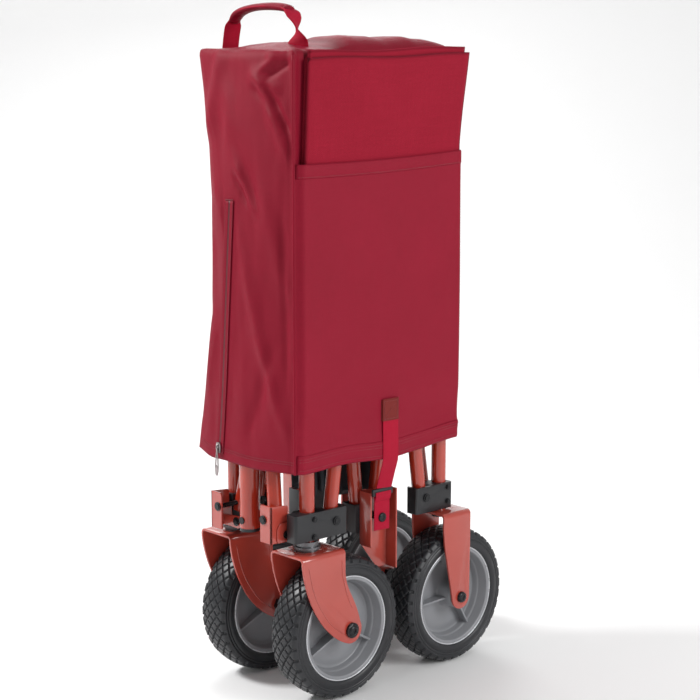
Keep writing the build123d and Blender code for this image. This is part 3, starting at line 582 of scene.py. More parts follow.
def dome(name, centre, radius, height, sign, material, sides=40, hexagon=False):
    """A domed bolt head on a Y-facing plate, with a hexagonal collar if asked."""
    crown = radius * 0.78 if hexagon else radius
    if hexagon:
        rings = [(radius, 0), (radius, height * 0.45), (radius * 0.93, height * 0.55), (crown, height * 0.58)]
    else:
        rings = [(radius, 0), (radius, height * 0.3)]
    rings += [(crown * size, height * lift)
              for size, lift in ((0.93, 0.75), (0.7, 0.93), (0.42, 1), (0.36, 0.9), (0.34, 0.62))]
    rings.append((0.01, height * 0.6))
    points = []
    for index, (size, lift) in enumerate(rings):
        for a in turns(sides):
            reach = size
            if hexagon and index < 3:
                wedge = (a + math.pi / 6) % (math.pi / 3) - math.pi / 6
                reach = size * math.cos(math.pi / 6) / math.cos(wedge) * 1.08
            points.append(np.array(centre) + (reach * math.cos(a), sign * lift, reach * math.sin(a)))
    obj = new_object(name, points, grid_faces(len(rings), sides, True), material)
    tidy_normals(obj)
    return obj


AXLE_Z, CASTER_AXLE_X, REAR_AXLE_X = 90.0, -96.0, 100.0
# Raised beads pressed along the caster fork's edges, as (x, z).
FORK_BEADS = (
    ("front", ((-165.8, 183), (-160.5, 158), (-150.5, 133), (-132.6, 106.5), (-113.5, 90.5), (-106, 86))),
    ("rear", ((-112, 182), (-111.5, 164), (-103.5, 136), (-95, 118))),
)
BEAD_POINTS = 40


def fork(node, body, sign):
    """Finish a fork, and give the y of its outer and inner faces."""
    low, high = box(node)
    # The fork takes the red paint lightened by painted reflection.
    place(softened(node, 0.9, PAINT_WITH_PAINTED_REFLECTION, 50), body, "frame_paint", node)
    return (high[1], low[1]) if sign > 0 else (low[1], high[1])


for side, sign in SIDES:
    body = f"caster_{side}"
    outer, inner = fork(f"caster_fork_{side}", body, sign)
    for face, tag, away in ((outer, "out", sign), (inner, "in", -sign)):
        for bead_name, bead in FORK_BEADS:
            path = relaxed(resampled([(x, face + away * 0.05, z) for x, z in bead], BEAD_POINTS), 6, 1)
            radii = 0.75 * np.sin(np.linspace(0.12, math.pi - 0.12, BEAD_POINTS)) ** 0.3
            name = f"fork_bead_{bead_name}_{tag}_{side}"
            place(sweep(name, path, radii, PAINT_WITH_PAINTED_REFLECTION, 8, 1.0, (0, 1, 0)), body, "frame_paint")
    at = (CASTER_AXLE_X, outer, AXLE_Z)
    place(dome(f"caster_bolt_head_{side}", at, 9.0, 6.0, sign, BOLT, 48, True), body, "fastener")
    at = (REAR_AXLE_X, fork(f"rear_fork_{side}", "frame", sign)[0], AXLE_Z)
    place(dome(f"rear_bolt_head_{side}", at, 7.2, 4.6, sign, BOLT), "frame", "fastener")


# ---------------------------------------------------------------- CAD nodes that stay or are softened

NODE_LOOKS = (
    (BLACK, ("post_caps", "handle_end_cap", "handle_collar", "handle_grip", "corner_sliders", "top_hubs",
             "bottom_hubs", "rear_corner", "front_corner", "strap_slide")),
    (BOLT, ("post_bolts", "side_rivets", "cross_rivets", "bracket_screws", "caster_axle_", "rear_axle_bolts",
            "strap_rivet")),
    # Brackets and legs take the red paint with painted reflection mixed into its colour.
    (PAINT_WITH_PAINTED_REFLECTION, ("handle_brackets", "centre_legs")),
    (BEARING, ("swivel_bearings",)),
    (ZIP_METAL, ("zip_slider",)),
    (PAINT, ("post_", "side_tube_", "front_cross_tubes", "rear_cross_tubes", "handle_outer_tube",
             "handle_pivot_plate", "handle_inner_tube")),
)
for node_name, obj in nodes.items():
    for material, prefixes in NODE_LOOKS:
        if node_name.startswith(prefixes):
            obj.data.materials.clear()
            obj.data.materials.append(material)
            break

SOFTENED_NODES = (
    ("front_corner_brackets", 0.8, BLACK, "black_plastic"),
    ("rear_corner_brackets", 0.8, BLACK, "black_plastic"),
    ("bottom_hubs", 0.8, BLACK, "black_plastic"),
    ("centre_legs", 0.5, PAINT_WITH_PAINTED_REFLECTION, "frame_paint"),
    ("handle_grip", 0.8, BLACK, "black_plastic"),
    ("strap_slide", 0.5, BLACK, "black_plastic"),
)
for node_name, width, material, slot in SOFTENED_NODES:
    place(softened(node_name, width, material, 40), nodes[node_name]["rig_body"], slot, node_name)


def handle_bracket(side, sign):
    """Folded sheet: a front plate, a side plate notched at its top, a rounded lap plate and an inner ear."""
    low, high = box("handle_brackets")
    front, foot, rear, top = low.x, low.z, high.x, high.z
    outer, inner, ear_x = sign * 58.0, sign * 37.5, -172.0
    notch_x, lap_z, sheet = -163.0, 232.0, 2.5
    quarter, half = np.linspace(0, math.pi / 2, 9), np.linspace(0, math.pi, 12)
    plate = [(front, inner, foot), (front, outer, foot), (front, outer, top), (front, sign * 40, top),
             (front, inner, top - 3)]
    wing = [(front, foot), (rear - 3, foot), (rear - 3, lap_z - 6), (notch_x, lap_z), (notch_x, top - 4),
            (notch_x - 2, top - 2), (front, top)]
    lap = [(-181.5, foot + 3), (-179, foot), (rear - 2, foot), (rear, foot + 2), (rear, lap_z)]
    lap += [(-171.5 - 10 * math.sin(a), lap_z - 10 + 10 * math.cos(a)) for a in quarter]
    ear = [(ear_x, sign * 55.6, foot), (ear_x, sign * 55.6, foot + 13), (ear_x, sign * 34, foot + 15.4)]
    ear += [(ear_x, sign * (29 - 8 * math.sin(a)), foot + 7.7 + 7.7 * math.cos(a)) for a in half]
    plates = [
        slab(f"handle_bracket_{side}", plate, sheet, (1, 0, 0), PAINT_WITH_PAINTED_REFLECTION),
        slab("side", [(x, outer, z) for x, z in wing], sheet, (0, -sign, 0), PAINT_WITH_PAINTED_REFLECTION),
        slab("lap", [(x, outer, z) for x, z in lap], 2.1, (0, sign, 0), PAINT_WITH_PAINTED_REFLECTION),
        slab("ear", ear, sheet, (1, 0, 0), PAINT_WITH_PAINTED_REFLECTION, 0.5),
    ]
    for plate in plates:
        apply_modifiers(plate)
        tidy_normals(plate)
    return joined(f"handle_bracket_{side}", plates)


brackets = [handle_bracket(side, sign) for side, sign in SIDES]
for bracket in brackets:
    place(bracket, "frame", "frame_paint")
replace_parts(brackets[0], "handle_brackets")


# ---------------------------------------------------------------- storage cover

SEAM_Y = COVER_LOW.y - 6.0
COVER_MIDDLE = (COVER_LOW.y + COVER_HIGH.y) / 2
FRONT_BULGE = 11.0
FRONT_X = COVER_LOW.x + FRONT_BULGE
# How widely the far front corner is rounded, and how far its foot flares out, at heights.
FAR_CORNER_SPREAD = (
    (298, 0), (330, 4), (380, 16), (441, 30), (473, 44), (615, 46), (687, 36), (735, 24), (789, 6),
)
FAR_CORNER_FLARE = ((298, 3.5), (340, 1.5), (400, 0), (800, 0))
# Crest lines of the cover's front folds: from (y, z) to (y, z), width, height.
FRONT_FOLDS = (
    (-34, 772, -86, 664, 8, 4.2), (-52, 752, -86, 694, 5, -3.6), (-40, 768, -86, 794, 4.5, 3.8),
    (-46, 786, -88, 800, 3.5, 3.4), (-52, 760, -86, 778, 3.5, -3.2), (-24, 764, -72, 744, 8, 3.0),
    (-30, 752, -66, 722, 6, -2.4), (30, 792, 62, 690, 12, 4.0), (24, 760, -6, 640, 16, 3.0),
    (8, 700, -40, 600, 10, -2.6), (44, 640, 16, 560, 7, 3.2), (-2, 660, -34, 600, 6, 3.4),
    (6, 650, -20, 612, 5, -2.6), (-40, 640, -82, 500, 13, 3.0), (-14, 540, -62, 380, 12, 3.4),
    (-60, 450, -14, 330, 10, -3.0), (48, 500, 66, 380, 9, 3.2), (-72, 610, -78, 400, 6, -2.4),
    (52, 580, 48, 460, 8, -3.0), (-30, 470, -76, 340, 9, 2.8), (0, 600, -28, 470, 9, 2.0),
)


def table_value(pairs, z):
    return np.interp(z, [p[0] for p in pairs], [p[1] for p in pairs])


def fold_height(a, z, folds):
    """Sum of smooth folds at a point of a panel, (a, z)."""
    total = 0.0
    for a0, z0, a1, z1, width, height in folds:
        run = np.array((a1 - a0, z1 - z0), float)
        span = np.linalg.norm(run)
        run = run / span
        t = ((a - a0) * run[0] + (z - z0) * run[1]) / span
        off = abs((a - a0) * run[1] - (z - z0) * run[0])
        ends = smooth(-0.12, 0.22, t) * (1 - smooth(0.78, 1.12, t))
        total += height * ends * math.exp(-(off / width) ** 2)
    return total


def zip_centre(z):
    """y of the zip on the front face at a height."""
    span = (z - ZIP_LOW.z) / (ZIP_HIGH.z - ZIP_LOW.z)
    half = 7.5
    low_y, high_y = ZIP_HIGH.y - half, ZIP_LOW.y + half
    return low_y + (high_y - low_y) * span


def front_bow(y):
    """How far the bulged front stands out from its corners, as the CAD arc does."""
    half = (COVER_HIGH.y - COVER_LOW.y) / 2
    return FRONT_BULGE * (1 - ((y - COVER_MIDDLE) / half) ** 2)


def hem_height(x, y):
    """The hem dips in the middle of the front and rises at the far and rear corners."""
    far = smooth(50, 92, y) * smooth(-60, -170, x) * 8
    rear = smooth(20, 100, x) * 9
    ripple = 1.2 * math.sin(x / 21) + 1.0 * math.sin(y / 17)
    return COVER_LOW.z - 1 + far + rear + ripple


SIDE_STEPS, END_STEPS, FRONT_STEPS, CORNER_STEPS = 76, 40, 90, 9
LEVELS = 170
TOP_ROLL = COVER_HIGH.z - 15
NEAR_INSET = 3.2
# The top's rings: how far in from the rim to the ridge, and how high above the rim.
TOP_RINGS = ((0.004, 3.6), (0.014, 7.0), (0.034, 10.2), (0.066, 13.2), (0.11, 15.8), (0.18, 18.6), (0.28, 21.6),
             (0.40, 24.4), (0.54, 27), (0.70, 29), (0.86, 30), (0.97, 30.4), (1.0, 30.4))


def cover_outline(z):
    """Plan of the cover at a height: counter-clockwise from the near front corner."""
    spread = table_value(FAR_CORNER_SPREAD, z)
    flare = table_value(FAR_CORNER_FLARE, z)
    corners = (
        (np.array((FRONT_X + 1, SEAM_Y)), 3.5),
        (np.array((COVER_HIGH.x - 2, COVER_LOW.y + 0.5)), 11.0),
        (np.array((COVER_HIGH.x - 2, COVER_HIGH.y - 2)), 16.0),
        (np.array((FRONT_X - flare, COVER_HIGH.y + flare)), 4.0 + spread * 1.15),
    )
    steps = (SIDE_STEPS, END_STEPS, SIDE_STEPS, FRONT_STEPS)
    points = []
    for i, (corner, radius) in enumerate(corners):
        before, after = corners[i - 1][0], corners[(i + 1) % 4][0]
        way_in, way_out = unit(corner - before), unit(after - corner)
        start, end = corner - way_in * radius, corner + way_out * radius
        for t in np.linspace(0, 1, CORNER_STEPS, endpoint=False):
            points.append((1 - t) ** 2 * start + 2 * t * (1 - t) * corner + t * t * end)
        next_start = after - way_out * corners[(i + 1) % 4][1]
        for t in np.linspace(0, 1, steps[i], endpoint=False):
            points.append(end + (next_start - end) * t)
    points = np.array(points)
    # The front bulges over the handle; the near side is drawn in behind the seam.
    on_front = smooth(FRONT_X + 60, FRONT_X + 12, points[:, 0])
    points[:, 0] -= on_front * np.array([max(front_bow(y), 0) for y in points[:, 1]]) * 0.95
    on_near = 1 - smooth(SEAM_Y + 6, SEAM_Y + 14, points[:, 1])
    points[:, 1] += on_near * smooth(FRONT_X + 4, FRONT_X + 12, points[:, 0]) * NEAR_INSET
    return points


def cover_wrinkle(x, y, z):
    """Outward stand of the cloth at a point of the cover."""
    zip_gap = smooth(9, 20, abs(y - zip_centre(z))) if z < ZIP_HIGH.z + 12 else 1.0
    soft = noise.noise(Vector((x / 40, y / 40, z / 130))) * 3.4
    fine = noise.noise(Vector((x / 15 + 5, y / 15, z / 52))) * 1.5
    if x < FRONT_X + 14:
        seam = smooth(SEAM_Y + 1, SEAM_Y + 12, y)
        return (soft * 0.55 + fine * 0.6 + fold_height(y, z, FRONT_FOLDS)) * zip_gap * seam
    if y < COVER_LOW.y + 6:
        return min(soft * 0.3, 0.2)
    broad = 2.2 * math.sin(z / 74 + x / 60) + 1.6 * math.sin(z / 33 - x / 45)
    return soft + fine + broad * 0.6


def far_crown(x, y):
    """How far the top's far front corner stands above the rest of its rim."""
    return 9 * smooth(10, COVER_HIGH.y, y) * smooth(-110, -165, x)


def cover_rows():
    """The walls from the hem up, then the top's rings from the rim in to the ridge."""
    rows = []
    for level in range(LEVELS):
        share = level / (LEVELS - 1)
        outline = cover_outline(COVER_LOW.z + share * (TOP_ROLL - COVER_LOW.z))
        normals = np.roll(outline, -1, axis=0) - np.roll(outline, 1, axis=0)
        normals = np.stack([normals[:, 1], -normals[:, 0]], -1)
        normals /= np.linalg.norm(normals, axis=1)[:, None]
        row = []
        for (x, y), (nx, ny) in zip(outline, normals):
            foot = hem_height(x, y)
            z = foot + share * (TOP_ROLL + far_crown(x, y) - foot)
            out = cover_wrinkle(x, y, z)
            row.append((x + nx * out, y + ny * out, z))
        rows.append(row)
    rim = np.array(rows[-1])
    ridge = np.stack([np.clip(rim[:, 0], -120, 52), np.full(len(rim), -1.0), np.full(len(rim), TOP_ROLL)], -1)
    for k, (inset, lift) in enumerate(TOP_RINGS):
        row = rim + (ridge - rim) * inset
        for j, (x, y, z) in enumerate(row):
            slack = noise.noise(Vector((x / 52, y / 40, 3.0))) * 3.4
            slack += noise.noise(Vector((x / 20, y / 24, 9.0))) * 1.2
            near = smooth(30, -70, y) * smooth(-112, -70, x) * 7
            handle_room = smooth(-60, -100, x) * smooth(2, 8, k) * 6
            front_dip = smooth(-115, -165, x) * 2.0
            from_corner = (x - FRONT_X) ** 2 + (y - SEAM_Y) ** 2
            pucker = 1.8 * math.sin(x / 3.1 + y / 9) * math.exp(-from_corner / 900)
            crown_left = far_crown(*rim[j, :2]) * (smooth(7, 0, k) - 1) * (1 - inset)
            slack = (slack + near - front_dip) * smooth(0, 6, k)
            row[j, 2] = z + lift + slack + pucker + crown_left - handle_room
        rows.append(row)
    return np.array(rows)


rows = cover_rows()
place(cloth("storage_cover", rows, COVER_CLOTH, wrap=True), "cover", "cover_fabric", "cover_shell")


# Piping up the near front corner seam, ending just over the edge of the top.
corner_column = CORNER_STEPS // 2
seam_path = [rows[k, corner_column] + np.array((-0.7, -0.9, 0)) for k in range(0, LEVELS + 2, 2)]
place(sweep("corner_piping", seam_path, 1.5, COVER_CLOTH, 8, 1.0, (1, 0, 0)), "cover", "cover_fabric")

# Double stitching along three sides of the hem: the axis it runs along, its way out, and where it is.
HEM_SIDES = (
    ("front", 1, (-1, 0, 0), lambda x, y: x < FRONT_X + 3 and y < COVER_HIGH.y - 6),
    ("far", 0, (0, 1, 0), lambda x, y: y > COVER_HIGH.y - 8 and x > FRONT_X + 30),
    ("rear", 1, (1, 0, 0), lambda x, y: x > COVER_HIGH.x - 6 and abs(y) < 72),
)
for number, height in enumerate((9.0, 12.5)):
    level = next(k for k in range(LEVELS) if rows[k, corner_column, 2] > COVER_LOW.z + height)
    for tag, axis, outward, keep in HEM_SIDES:
        run = sorted((point for point in rows[level] if keep(*point[:2])), key=lambda point: point[axis])
        sew(f"hem_stitching_{tag}_{number}", np.array(run) + np.array(outward) * 0.25, outward)


def front_surface(y, z):
    """x of the finished front face at (y, z)."""
    level = int(round((z - COVER_LOW.z) / (TOP_ROLL - COVER_LOW.z) * (LEVELS - 1)))
    level = min(max(level, 0), LEVELS - 1)
    front = [point for point in rows[level] if point[0] < FRONT_X + 12]
    return min(front, key=lambda point: abs(point[1] - y))[0]


# ---------------------------------------------------------------- side pocket

POCKET_TOP = POCKET_HIGH.z
POCKET_FACE = POCKET_LOW.y
HEM_Z = 22.0
POCKET_OUT = (0, -1, 0)


def pocket_y(x, z):
    """The pocket dips beside the seam, lies flat over the mat, and relaxes below it."""
    seam_rise = smooth(FRONT_X + 4, FRONT_X - 1, x)
    over = smooth(-180, -168, x)
    base = (SEAM_Y - 0.8) * seam_rise + (1 - seam_rise) * (SEAM_Y + 1.0 + over * (POCKET_FACE - SEAM_Y - 1.2))
    slack = 1 - smooth(MAT_LOW.z - 34, MAT_LOW.z + 6, z)
    strap = math.exp(-(((x - STRAP_LOW.x - 14) / 34) ** 2))
    billow = noise.noise(Vector((x / 60, 7.0, z / 170))) * 1.6
    billow += noise.noise(Vector((x / 24, 2.0, z / 90))) * 0.6
    drawn = slack * (2.6 + 1.6 * math.sin(x / 27)) * (1 - strap)
    fold = slack * 1.8 * math.exp(-((z - COVER_LOW.z - HEM_Z - 4) / 5.0) ** 2) * (1 - 0.7 * strap)
    rear = smooth(COVER_HIGH.x - 12, COVER_HIGH.x - 1, x) * 11.0
    y = base + over * (abs(billow) * 0.55 + drawn) - fold * over + rear
    return max(y, POCKET_FACE - 1.2)


def pocket_x(u, z):
    right = COVER_HIGH.x - 2.5 - 2.5 * math.sin(math.pi * (z - COVER_LOW.z) / (POCKET_TOP - COVER_LOW.z))
    return FRONT_X - 0.5 + u * (right - FRONT_X + 0.5)


def pocket_top(x):
    """The pocket's mouth rises to the right, with a slight sag in its middle."""
    share = (x - FRONT_X) / (COVER_HIGH.x - FRONT_X)
    return POCKET_TOP - 4 + 13 * share - 2.5 * math.sin(math.pi * share)


def pocket_foot(x):
    return hem_height(x, COVER_LOW.y) + 1


pocket_rows = []
for v in np.linspace(0, 1, 110):
    row = []
    for u in np.linspace(0, 1, 120):
        x = pocket_x(u, COVER_LOW.z + v * (POCKET_TOP - COVER_LOW.z))
        low = pocket_foot(x)
        z = low + v * (pocket_top(x) - low)
        row.append((x, pocket_y(x, z), z))
    pocket_rows.append(row)
pocket = cloth("side_pocket_panel", pocket_rows, POCKET_CLOTH, thickness=0.9)
place(pocket, "cover", "cover_fabric", "side_pocket")


def on_pocket(x, z, lift):
    return np.array((x, pocket_y(x, z) - lift, z))


def turned_hem(name, edge, rises, lifts, right, thickness):
    """A doubled band along an edge of the pocket, standing proud of it between its own two edges."""
    xs = np.linspace(FRONT_X + 3, right, 110)
    band = [[on_pocket(x, edge(x) + rise, lift) for x in xs] for rise, lift in zip(rises, lifts)]
    place(cloth(name, band, POCKET_CLOTH, thickness=thickness), "cover", "cover_fabric")


turned_hem("pocket_mouth_hem", pocket_top, (-16.6, -14.6, -7.6, -1.6, 0.4), (0.15, 0.9, 0.9, 0.9, 0.15),
           COVER_HIGH.x - 8, 0.7)
seam_xs = np.linspace(FRONT_X + 5, COVER_HIGH.x - 9, 120)
sew("pocket_mouth_stitching", [on_pocket(x, pocket_top(x) - 14.5, 1.0) for x in seam_xs], POCKET_OUT)
turned_hem("pocket_bottom_hem", pocket_foot, (-1.0, 1.5, 10.0, HEM_Z - 2, HEM_Z), (0.2, 1.1, 1.1, 1.1, 0.2),
           COVER_HIGH.x - 7, 0.8)
for number, rise in enumerate((HEM_Z - 4.5, HEM_Z - 8.0, 4.0)):
    path = [on_pocket(x, pocket_foot(x) + rise, 1.25) for x in seam_xs]
    sew(f"pocket_hem_stitching_{number}", path, POCKET_OUT)
path = [on_pocket(pocket_x(0.985, z), z, 0.3) for z in np.linspace(COVER_LOW.z + 24, POCKET_TOP - 16, 80)]
sew("pocket_rear_stitching", path, (0.3, -1, 0))


# ---------------------------------------------------------------- folded floor mat

# Each leaf's middle in y, its growth to the left and at its top, and how far its right edge is drawn in.
MAT_LAYERS = ((MAT_LOW.y + 1.95, 0, 0, 0), (MAT_LOW.y + 5.75, 4, 8, 3), (MAT_LOW.y + 9.45, 2, 3, 1))
MAT_LEFT, MAT_RIGHT, LEAF_HALF, EDGE_RADIUS = -166.5, 93.5, 1.75, 3.0
MAT_COLUMNS, MAT_ROWS = 56, 84


def rolled_in(distance):
    """0 at an edge, and 1 from the edge radius inward, round a quarter circle."""
    return math.sqrt(max(0.0, 1 - (1 - min(distance / EDGE_RADIUS, 1)) ** 2))


def mat_layer(number, centre_y, grow_left, grow_top, shift):
    """One padded leaf of the mat: crowned faces, rolled edges, a little waviness."""
    loops = []
    for v in np.linspace(0, 1, MAT_ROWS):
        z0 = MAT_LOW.z + v * (MAT_HIGH.z - 6 - MAT_LOW.z)
        left = MAT_LEFT + max(z0 - 655, 0) * 0.045 + grow_left
        right = MAT_RIGHT + max(z0 - 677, 0) * 0.12 - abs(min(z0 - 677, 0)) * 0.03 - shift
        edge_z = min(v, 1 - v) * (MAT_HIGH.z - MAT_LOW.z)
        row = []
        for k in range(2 * MAT_COLUMNS):
            front = k < MAT_COLUMNS
            u = (k if front else 2 * MAT_COLUMNS - 1 - k) / (MAT_COLUMNS - 1)
            x = left + u * (right - left)
            z = z0 + v * v * (12 * u - 2 + grow_top + 1.2 * math.sin(u * 9 + number))
            edge = min(u, 1 - u) * (right - left)
            piping = 0.9 + 0.12 * math.exp(-((min(edge, edge_z) - 2.2) / 1.2) ** 2)
            wave = noise.noise(Vector((x / 70, number * 3.0, z / 80))) * 0.30
            stand = LEAF_HALF * rolled_in(edge) * rolled_in(edge_z) * piping
            y = centre_y + (-stand if front else stand) + wave
            lean = smooth(MAT_HIGH.z - 90, MAT_HIGH.z + 10, z) * smooth(0.5, 1.0, u)
            y -= lean * (3.0 if number == 0 else 1.8)
            row.append((x, y, z))
        loops.append(row)
    obj = cloth(f"mat_leaf_{number}", loops, MAT_CLOTH, wrap=True, thickness=0)
    with reworked(obj.data) as work:
        bmesh.ops.remove_doubles(work, verts=work.verts, dist=0.02 * MM)
        bmesh.ops.holes_fill(work, edges=work.edges, sides=0)
        bmesh.ops.recalc_face_normals(work, faces=work.faces)
        for face in work.faces:
            face.smooth = True
    return obj


leaves = [mat_layer(k, *layer) for k, layer in enumerate(MAT_LAYERS)]
for leaf in leaves:
    place(leaf, "mat", "mat_fabric")
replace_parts(leaves[0], "floor_mat")


# ---------------------------------------------------------------- zip

zip_heights = np.linspace(ZIP_LOW.z + 2, ZIP_HIGH.z - 2, 90)


def zip_path(offset, proud):
    """Up the front face beside the zip's centre line, standing proud of the cloth."""
    beside = [(zip_centre(z) + offset, z) for z in zip_heights]
    return relaxed([(front_surface(y, z) - proud, y, z) for y, z in beside], 8)


def zip_strip(name, offset, half, proud, material):
    return ribbon(name, zip_path(offset, proud), (0, 1, 0), half, 1.1, material)


for number, (tag, offset, stitch) in enumerate((("near", -4.6, -7.0), ("far", 4.6, 7.2))):
    place(zip_strip(f"zip_tape_{tag}", offset, 3.1, 0.9, COVER_CLOTH), "cover", "cover_fabric")
    sew(f"zip_stitching_{tag}_{number}", zip_path(stitch, 1.55), (-1, 0, 0))
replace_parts(place(zip_strip("zip_coil", 0, 1.9, 0.5, COIL), "cover", "cover_fabric"), "zip_track")
top_y = zip_centre(ZIP_HIGH.z)
tack_x = front_surface(top_y, ZIP_HIGH.z) - 1.7
path = [(tack_x, top_y + s, ZIP_HIGH.z - 1) for s in np.linspace(-8, 8, 14)]
sew("zip_bar_tack", path, (-1, 0, 0), 1.1, 1.0, 0.5)


def zip_slider():
    """Die-cast slider with a bridge, and a long teardrop pull hanging from it."""
    body_z = box("zip_slider")[1].z - 7.5
    y = zip_centre(body_z)
    face = front_surface(y, body_z) - 2.0
    hang = face - 3.9
    outline = ((-3.2, -6.5), (3.2, -6.5), (4.4, -1), (4.4, 3.5), (2.6, 6.5), (-2.6, 6.5), (-4.4, 3.5),
               (-4.4, -1))
    plate = [(face, y + a, body_z + b) for a, b in outline]
    plate = slab("zip_slider_body", plate, 2.2, (-1, 0, 0), ZIP_METAL, 0.5)
    apply_modifiers(plate)
    arch = [(face - 2.0 - 2.2 * math.sin(math.pi * k / 12), y, body_z + 4.6 - 9.2 * k / 12) for k in range(13)]
    bridge = sweep("bridge", arch, 1.0, ZIP_METAL, 10, 1.0, (0, 1, 0))
    loop = []
    for a in np.linspace(0, 2 * math.pi, 49):
        wide = 3.4 * math.sin(a) * (0.62 - 0.38 * math.cos(a))
        loop.append((hang + 0.5 * math.cos(a), y + wide, body_z - 17.5 + 17.0 * math.cos(a)))
    ring = sweep("pull", loop, 0.85, ZIP_METAL, 10, 1.0, (1, 0, 0))
    pad = [(hang, y + a, body_z - 30 + b) for a, b in ((-1.9, -4), (1.9, -4), (2.3, 3), (0, 9), (-2.3, 3))]
    pad = slab("pad", pad, 1.0, (-1, 0, 0), ZIP_METAL, 0.35)
    apply_modifiers(pad)
    for part in (plate, pad):
        tidy_normals(part)
    return joined("zip_slider_cast", [plate, bridge, ring, pad])


place(zip_slider(), "zip_pull", "fastener", "zip_slider")


# ---------------------------------------------------------------- carry handle

CARRY_X = (CARRY_LOW.x + CARRY_HIGH.x) / 2
# The arch from the near foot over the grip to the far foot, as y and height above the feet.
CARRY_ARCH = (
    (-50, 0), (-49, 14), (-45.5, 30), (-40, 42), (-30, 46.5), (-12, 49), (10, 50), (32, 49.5), (50, 47),
    (63, 42.5), (70.5, 33), (74.5, 18), (77.5, 0),
)
CARRY_POINTS, SLEEVE_FROM, SLEEVE_TO = 90, 26, 74
# How far the webbing turns from lying flat (degrees), at shares of its length.
TWIST_AT, TWIST = (0, 0.04, 0.12, 0.20, 0.26), (128, 118, 47, 8, 0)

path = relaxed(resampled([(CARRY_X, y, CARRY_LOW.z + z) for y, z in CARRY_ARCH], CARRY_POINTS), 12)
wide, halves = [], []
for k in range(CARRY_POINTS):
    share = k / (CARRY_POINTS - 1)
    twist = math.radians(np.interp(share, TWIST_AT, TWIST))
    tangent = unit(path[min(k + 1, CARRY_POINTS - 1)] - path[max(k - 1, 0)])
    base = np.array((1.0, 0, 0))
    wide.append(base * math.cos(twist) + np.cross(tangent, base) * math.sin(twist))
    in_sleeve = smooth(0.24, 0.3, share) * smooth(0.86, 0.8, share)
    halves.append(12.5 * (1 - 0.3 * math.exp(-(((share - 0.12) / 0.04) ** 2)) - 0.3 * in_sleeve))
carry = ribbon("carry_webbing", path, wide, halves, 1.7, WEBBING)
place(carry, "carry_loop", "webbing", "carry_handle")
sleeve_points = path[SLEEVE_FROM:SLEEVE_TO]
shares = np.linspace(0, 1, len(sleeve_points))
closing = np.exp(-(shares * 14) ** 2) + np.exp(-((1 - shares) * 14) ** 2)
sleeve_r = 8.6 + 0.5 * np.sin(shares * 9) - 0.9 * closing
sleeve = sweep("carry_sleeve", sleeve_points, sleeve_r, COVER_CLOTH, 28, 0.52, (0, 0, 1))
layer = sleeve.data.uv_layers.new(name="cloth")
for loop in sleeve.data.loops:
    co = sleeve.data.vertices[loop.vertex_index].co
    layer.data[loop.index].uv = (co.y, co.x + co.z)
place(sleeve, "carry_loop", "cover_fabric")
for tag, k in (("near", 1), ("far", 45)):
    ring = [sleeve_points[k] + np.array((8.9 * math.cos(a), 0, 4.9 * math.sin(a)))
            for a in np.linspace(0, 2 * math.pi, 40)]
    sew(f"sleeve_stitching_{tag}", ring, (0, 0.2, 1), 2.6, 1.8, 0.3, body="carry_loop")


# ---------------------------------------------------------------- closing strap

STRAP_X = (STRAP_LOW.x + STRAP_HIGH.x) / 2
STRAP_HALF = (STRAP_HIGH.x - STRAP_LOW.x) / 2
STRAP_WIDE = (1, 0, 0)


def tape_rows(top, half, face, crown):
    """A sheet of tape as wide as the strap, up to a height, crowned outward in its middle."""
    return [[(STRAP_X + s * half, face - crown * (1 - s ** 4), z) for s in np.linspace(-1, 1, 16)]
            for z in np.linspace(PATCH_LOW.z, top, 12)]


face = STRAP_LOW.y + 0.75
upper = [(STRAP_HIGH.y - 1.2, STRAP_LOW.z + 0.4), (-90.6, 265), (-94.5, 279), (face + 0.5, 293), (face, 306),
         (face, 325), (face, 346), (face, 372.5)]
path = relaxed(resampled([(STRAP_X, y, z) for y, z in upper], 60), 10)
path[:, 0] += 1.2 * np.sin(np.linspace(0, math.pi, 60))
upper = ribbon("strap_webbing_upper", path, STRAP_WIDE, STRAP_HALF - 0.8, 1.3, WEBBING)
place(upper, "strap_flap", "webbing", "strap_upper")
tab = tape_rows(PATCH_HIGH.z + 1.5, STRAP_HALF - 0.4, STRAP_LOW.y - 0.25, 0.3)
place(cloth("strap_end_tab", tab, HOOK_TAPE, thickness=0.5), "strap_flap", "hook_tape")
inset = STRAP_HALF - 3
z_low, z_high = PATCH_LOW.z + 2.5, PATCH_HIGH.z - 1.5
square = [(-inset, z_low), (inset, z_low), (inset, z_high), (-inset, z_high), (-inset, z_low), (inset, z_high)]
path = []
for (a, b), (c, d) in zip(square, square[1:]):
    for s in np.linspace(0, 1, 12, endpoint=False):
        path.append((STRAP_X + a + (c - a) * s, STRAP_LOW.y - 0.62, b + (d - b) * s))
sew("strap_tab_stitching", path, (0, -1, 0), 2.6, 1.9, 0.26, body="strap_flap", slot="hook_tape")
patch = tape_rows(PATCH_HIGH.z, STRAP_HALF, PATCH_LOW.y + 0.05, 0)
place(cloth("hook_patch_woven", patch, HOOK_TAPE, thickness=0.5), "cover", "hook_tape", "hook_patch")
face = (LOWER_LOW.y + LOWER_HIGH.y) / 2
path = [(STRAP_X + 0.4 * math.sin(k / 9), face + 0.25 * math.sin(k / 6), z)
        for k, z in enumerate(np.linspace(LOWER_LOW.z, LOWER_HIGH.z, 41))]
lower = ribbon("strap_webbing_lower", path, STRAP_WIDE, STRAP_HALF - 0.8, 1.3, WEBBING)
place(lower, "frame", "webbing", "strap_lower")
slide_y, slide_z = box("strap_slide")[0].yz
over = [(LOWER_LOW.y - 0.6, slide_z - 7), (slide_y - 0.5, slide_z - 1.5), (slide_y - 0.7, slide_z + 2),
        (slide_y - 0.6, slide_z + 4.5)]
path = resampled([(STRAP_X, y, z) for y, z in over], 24)
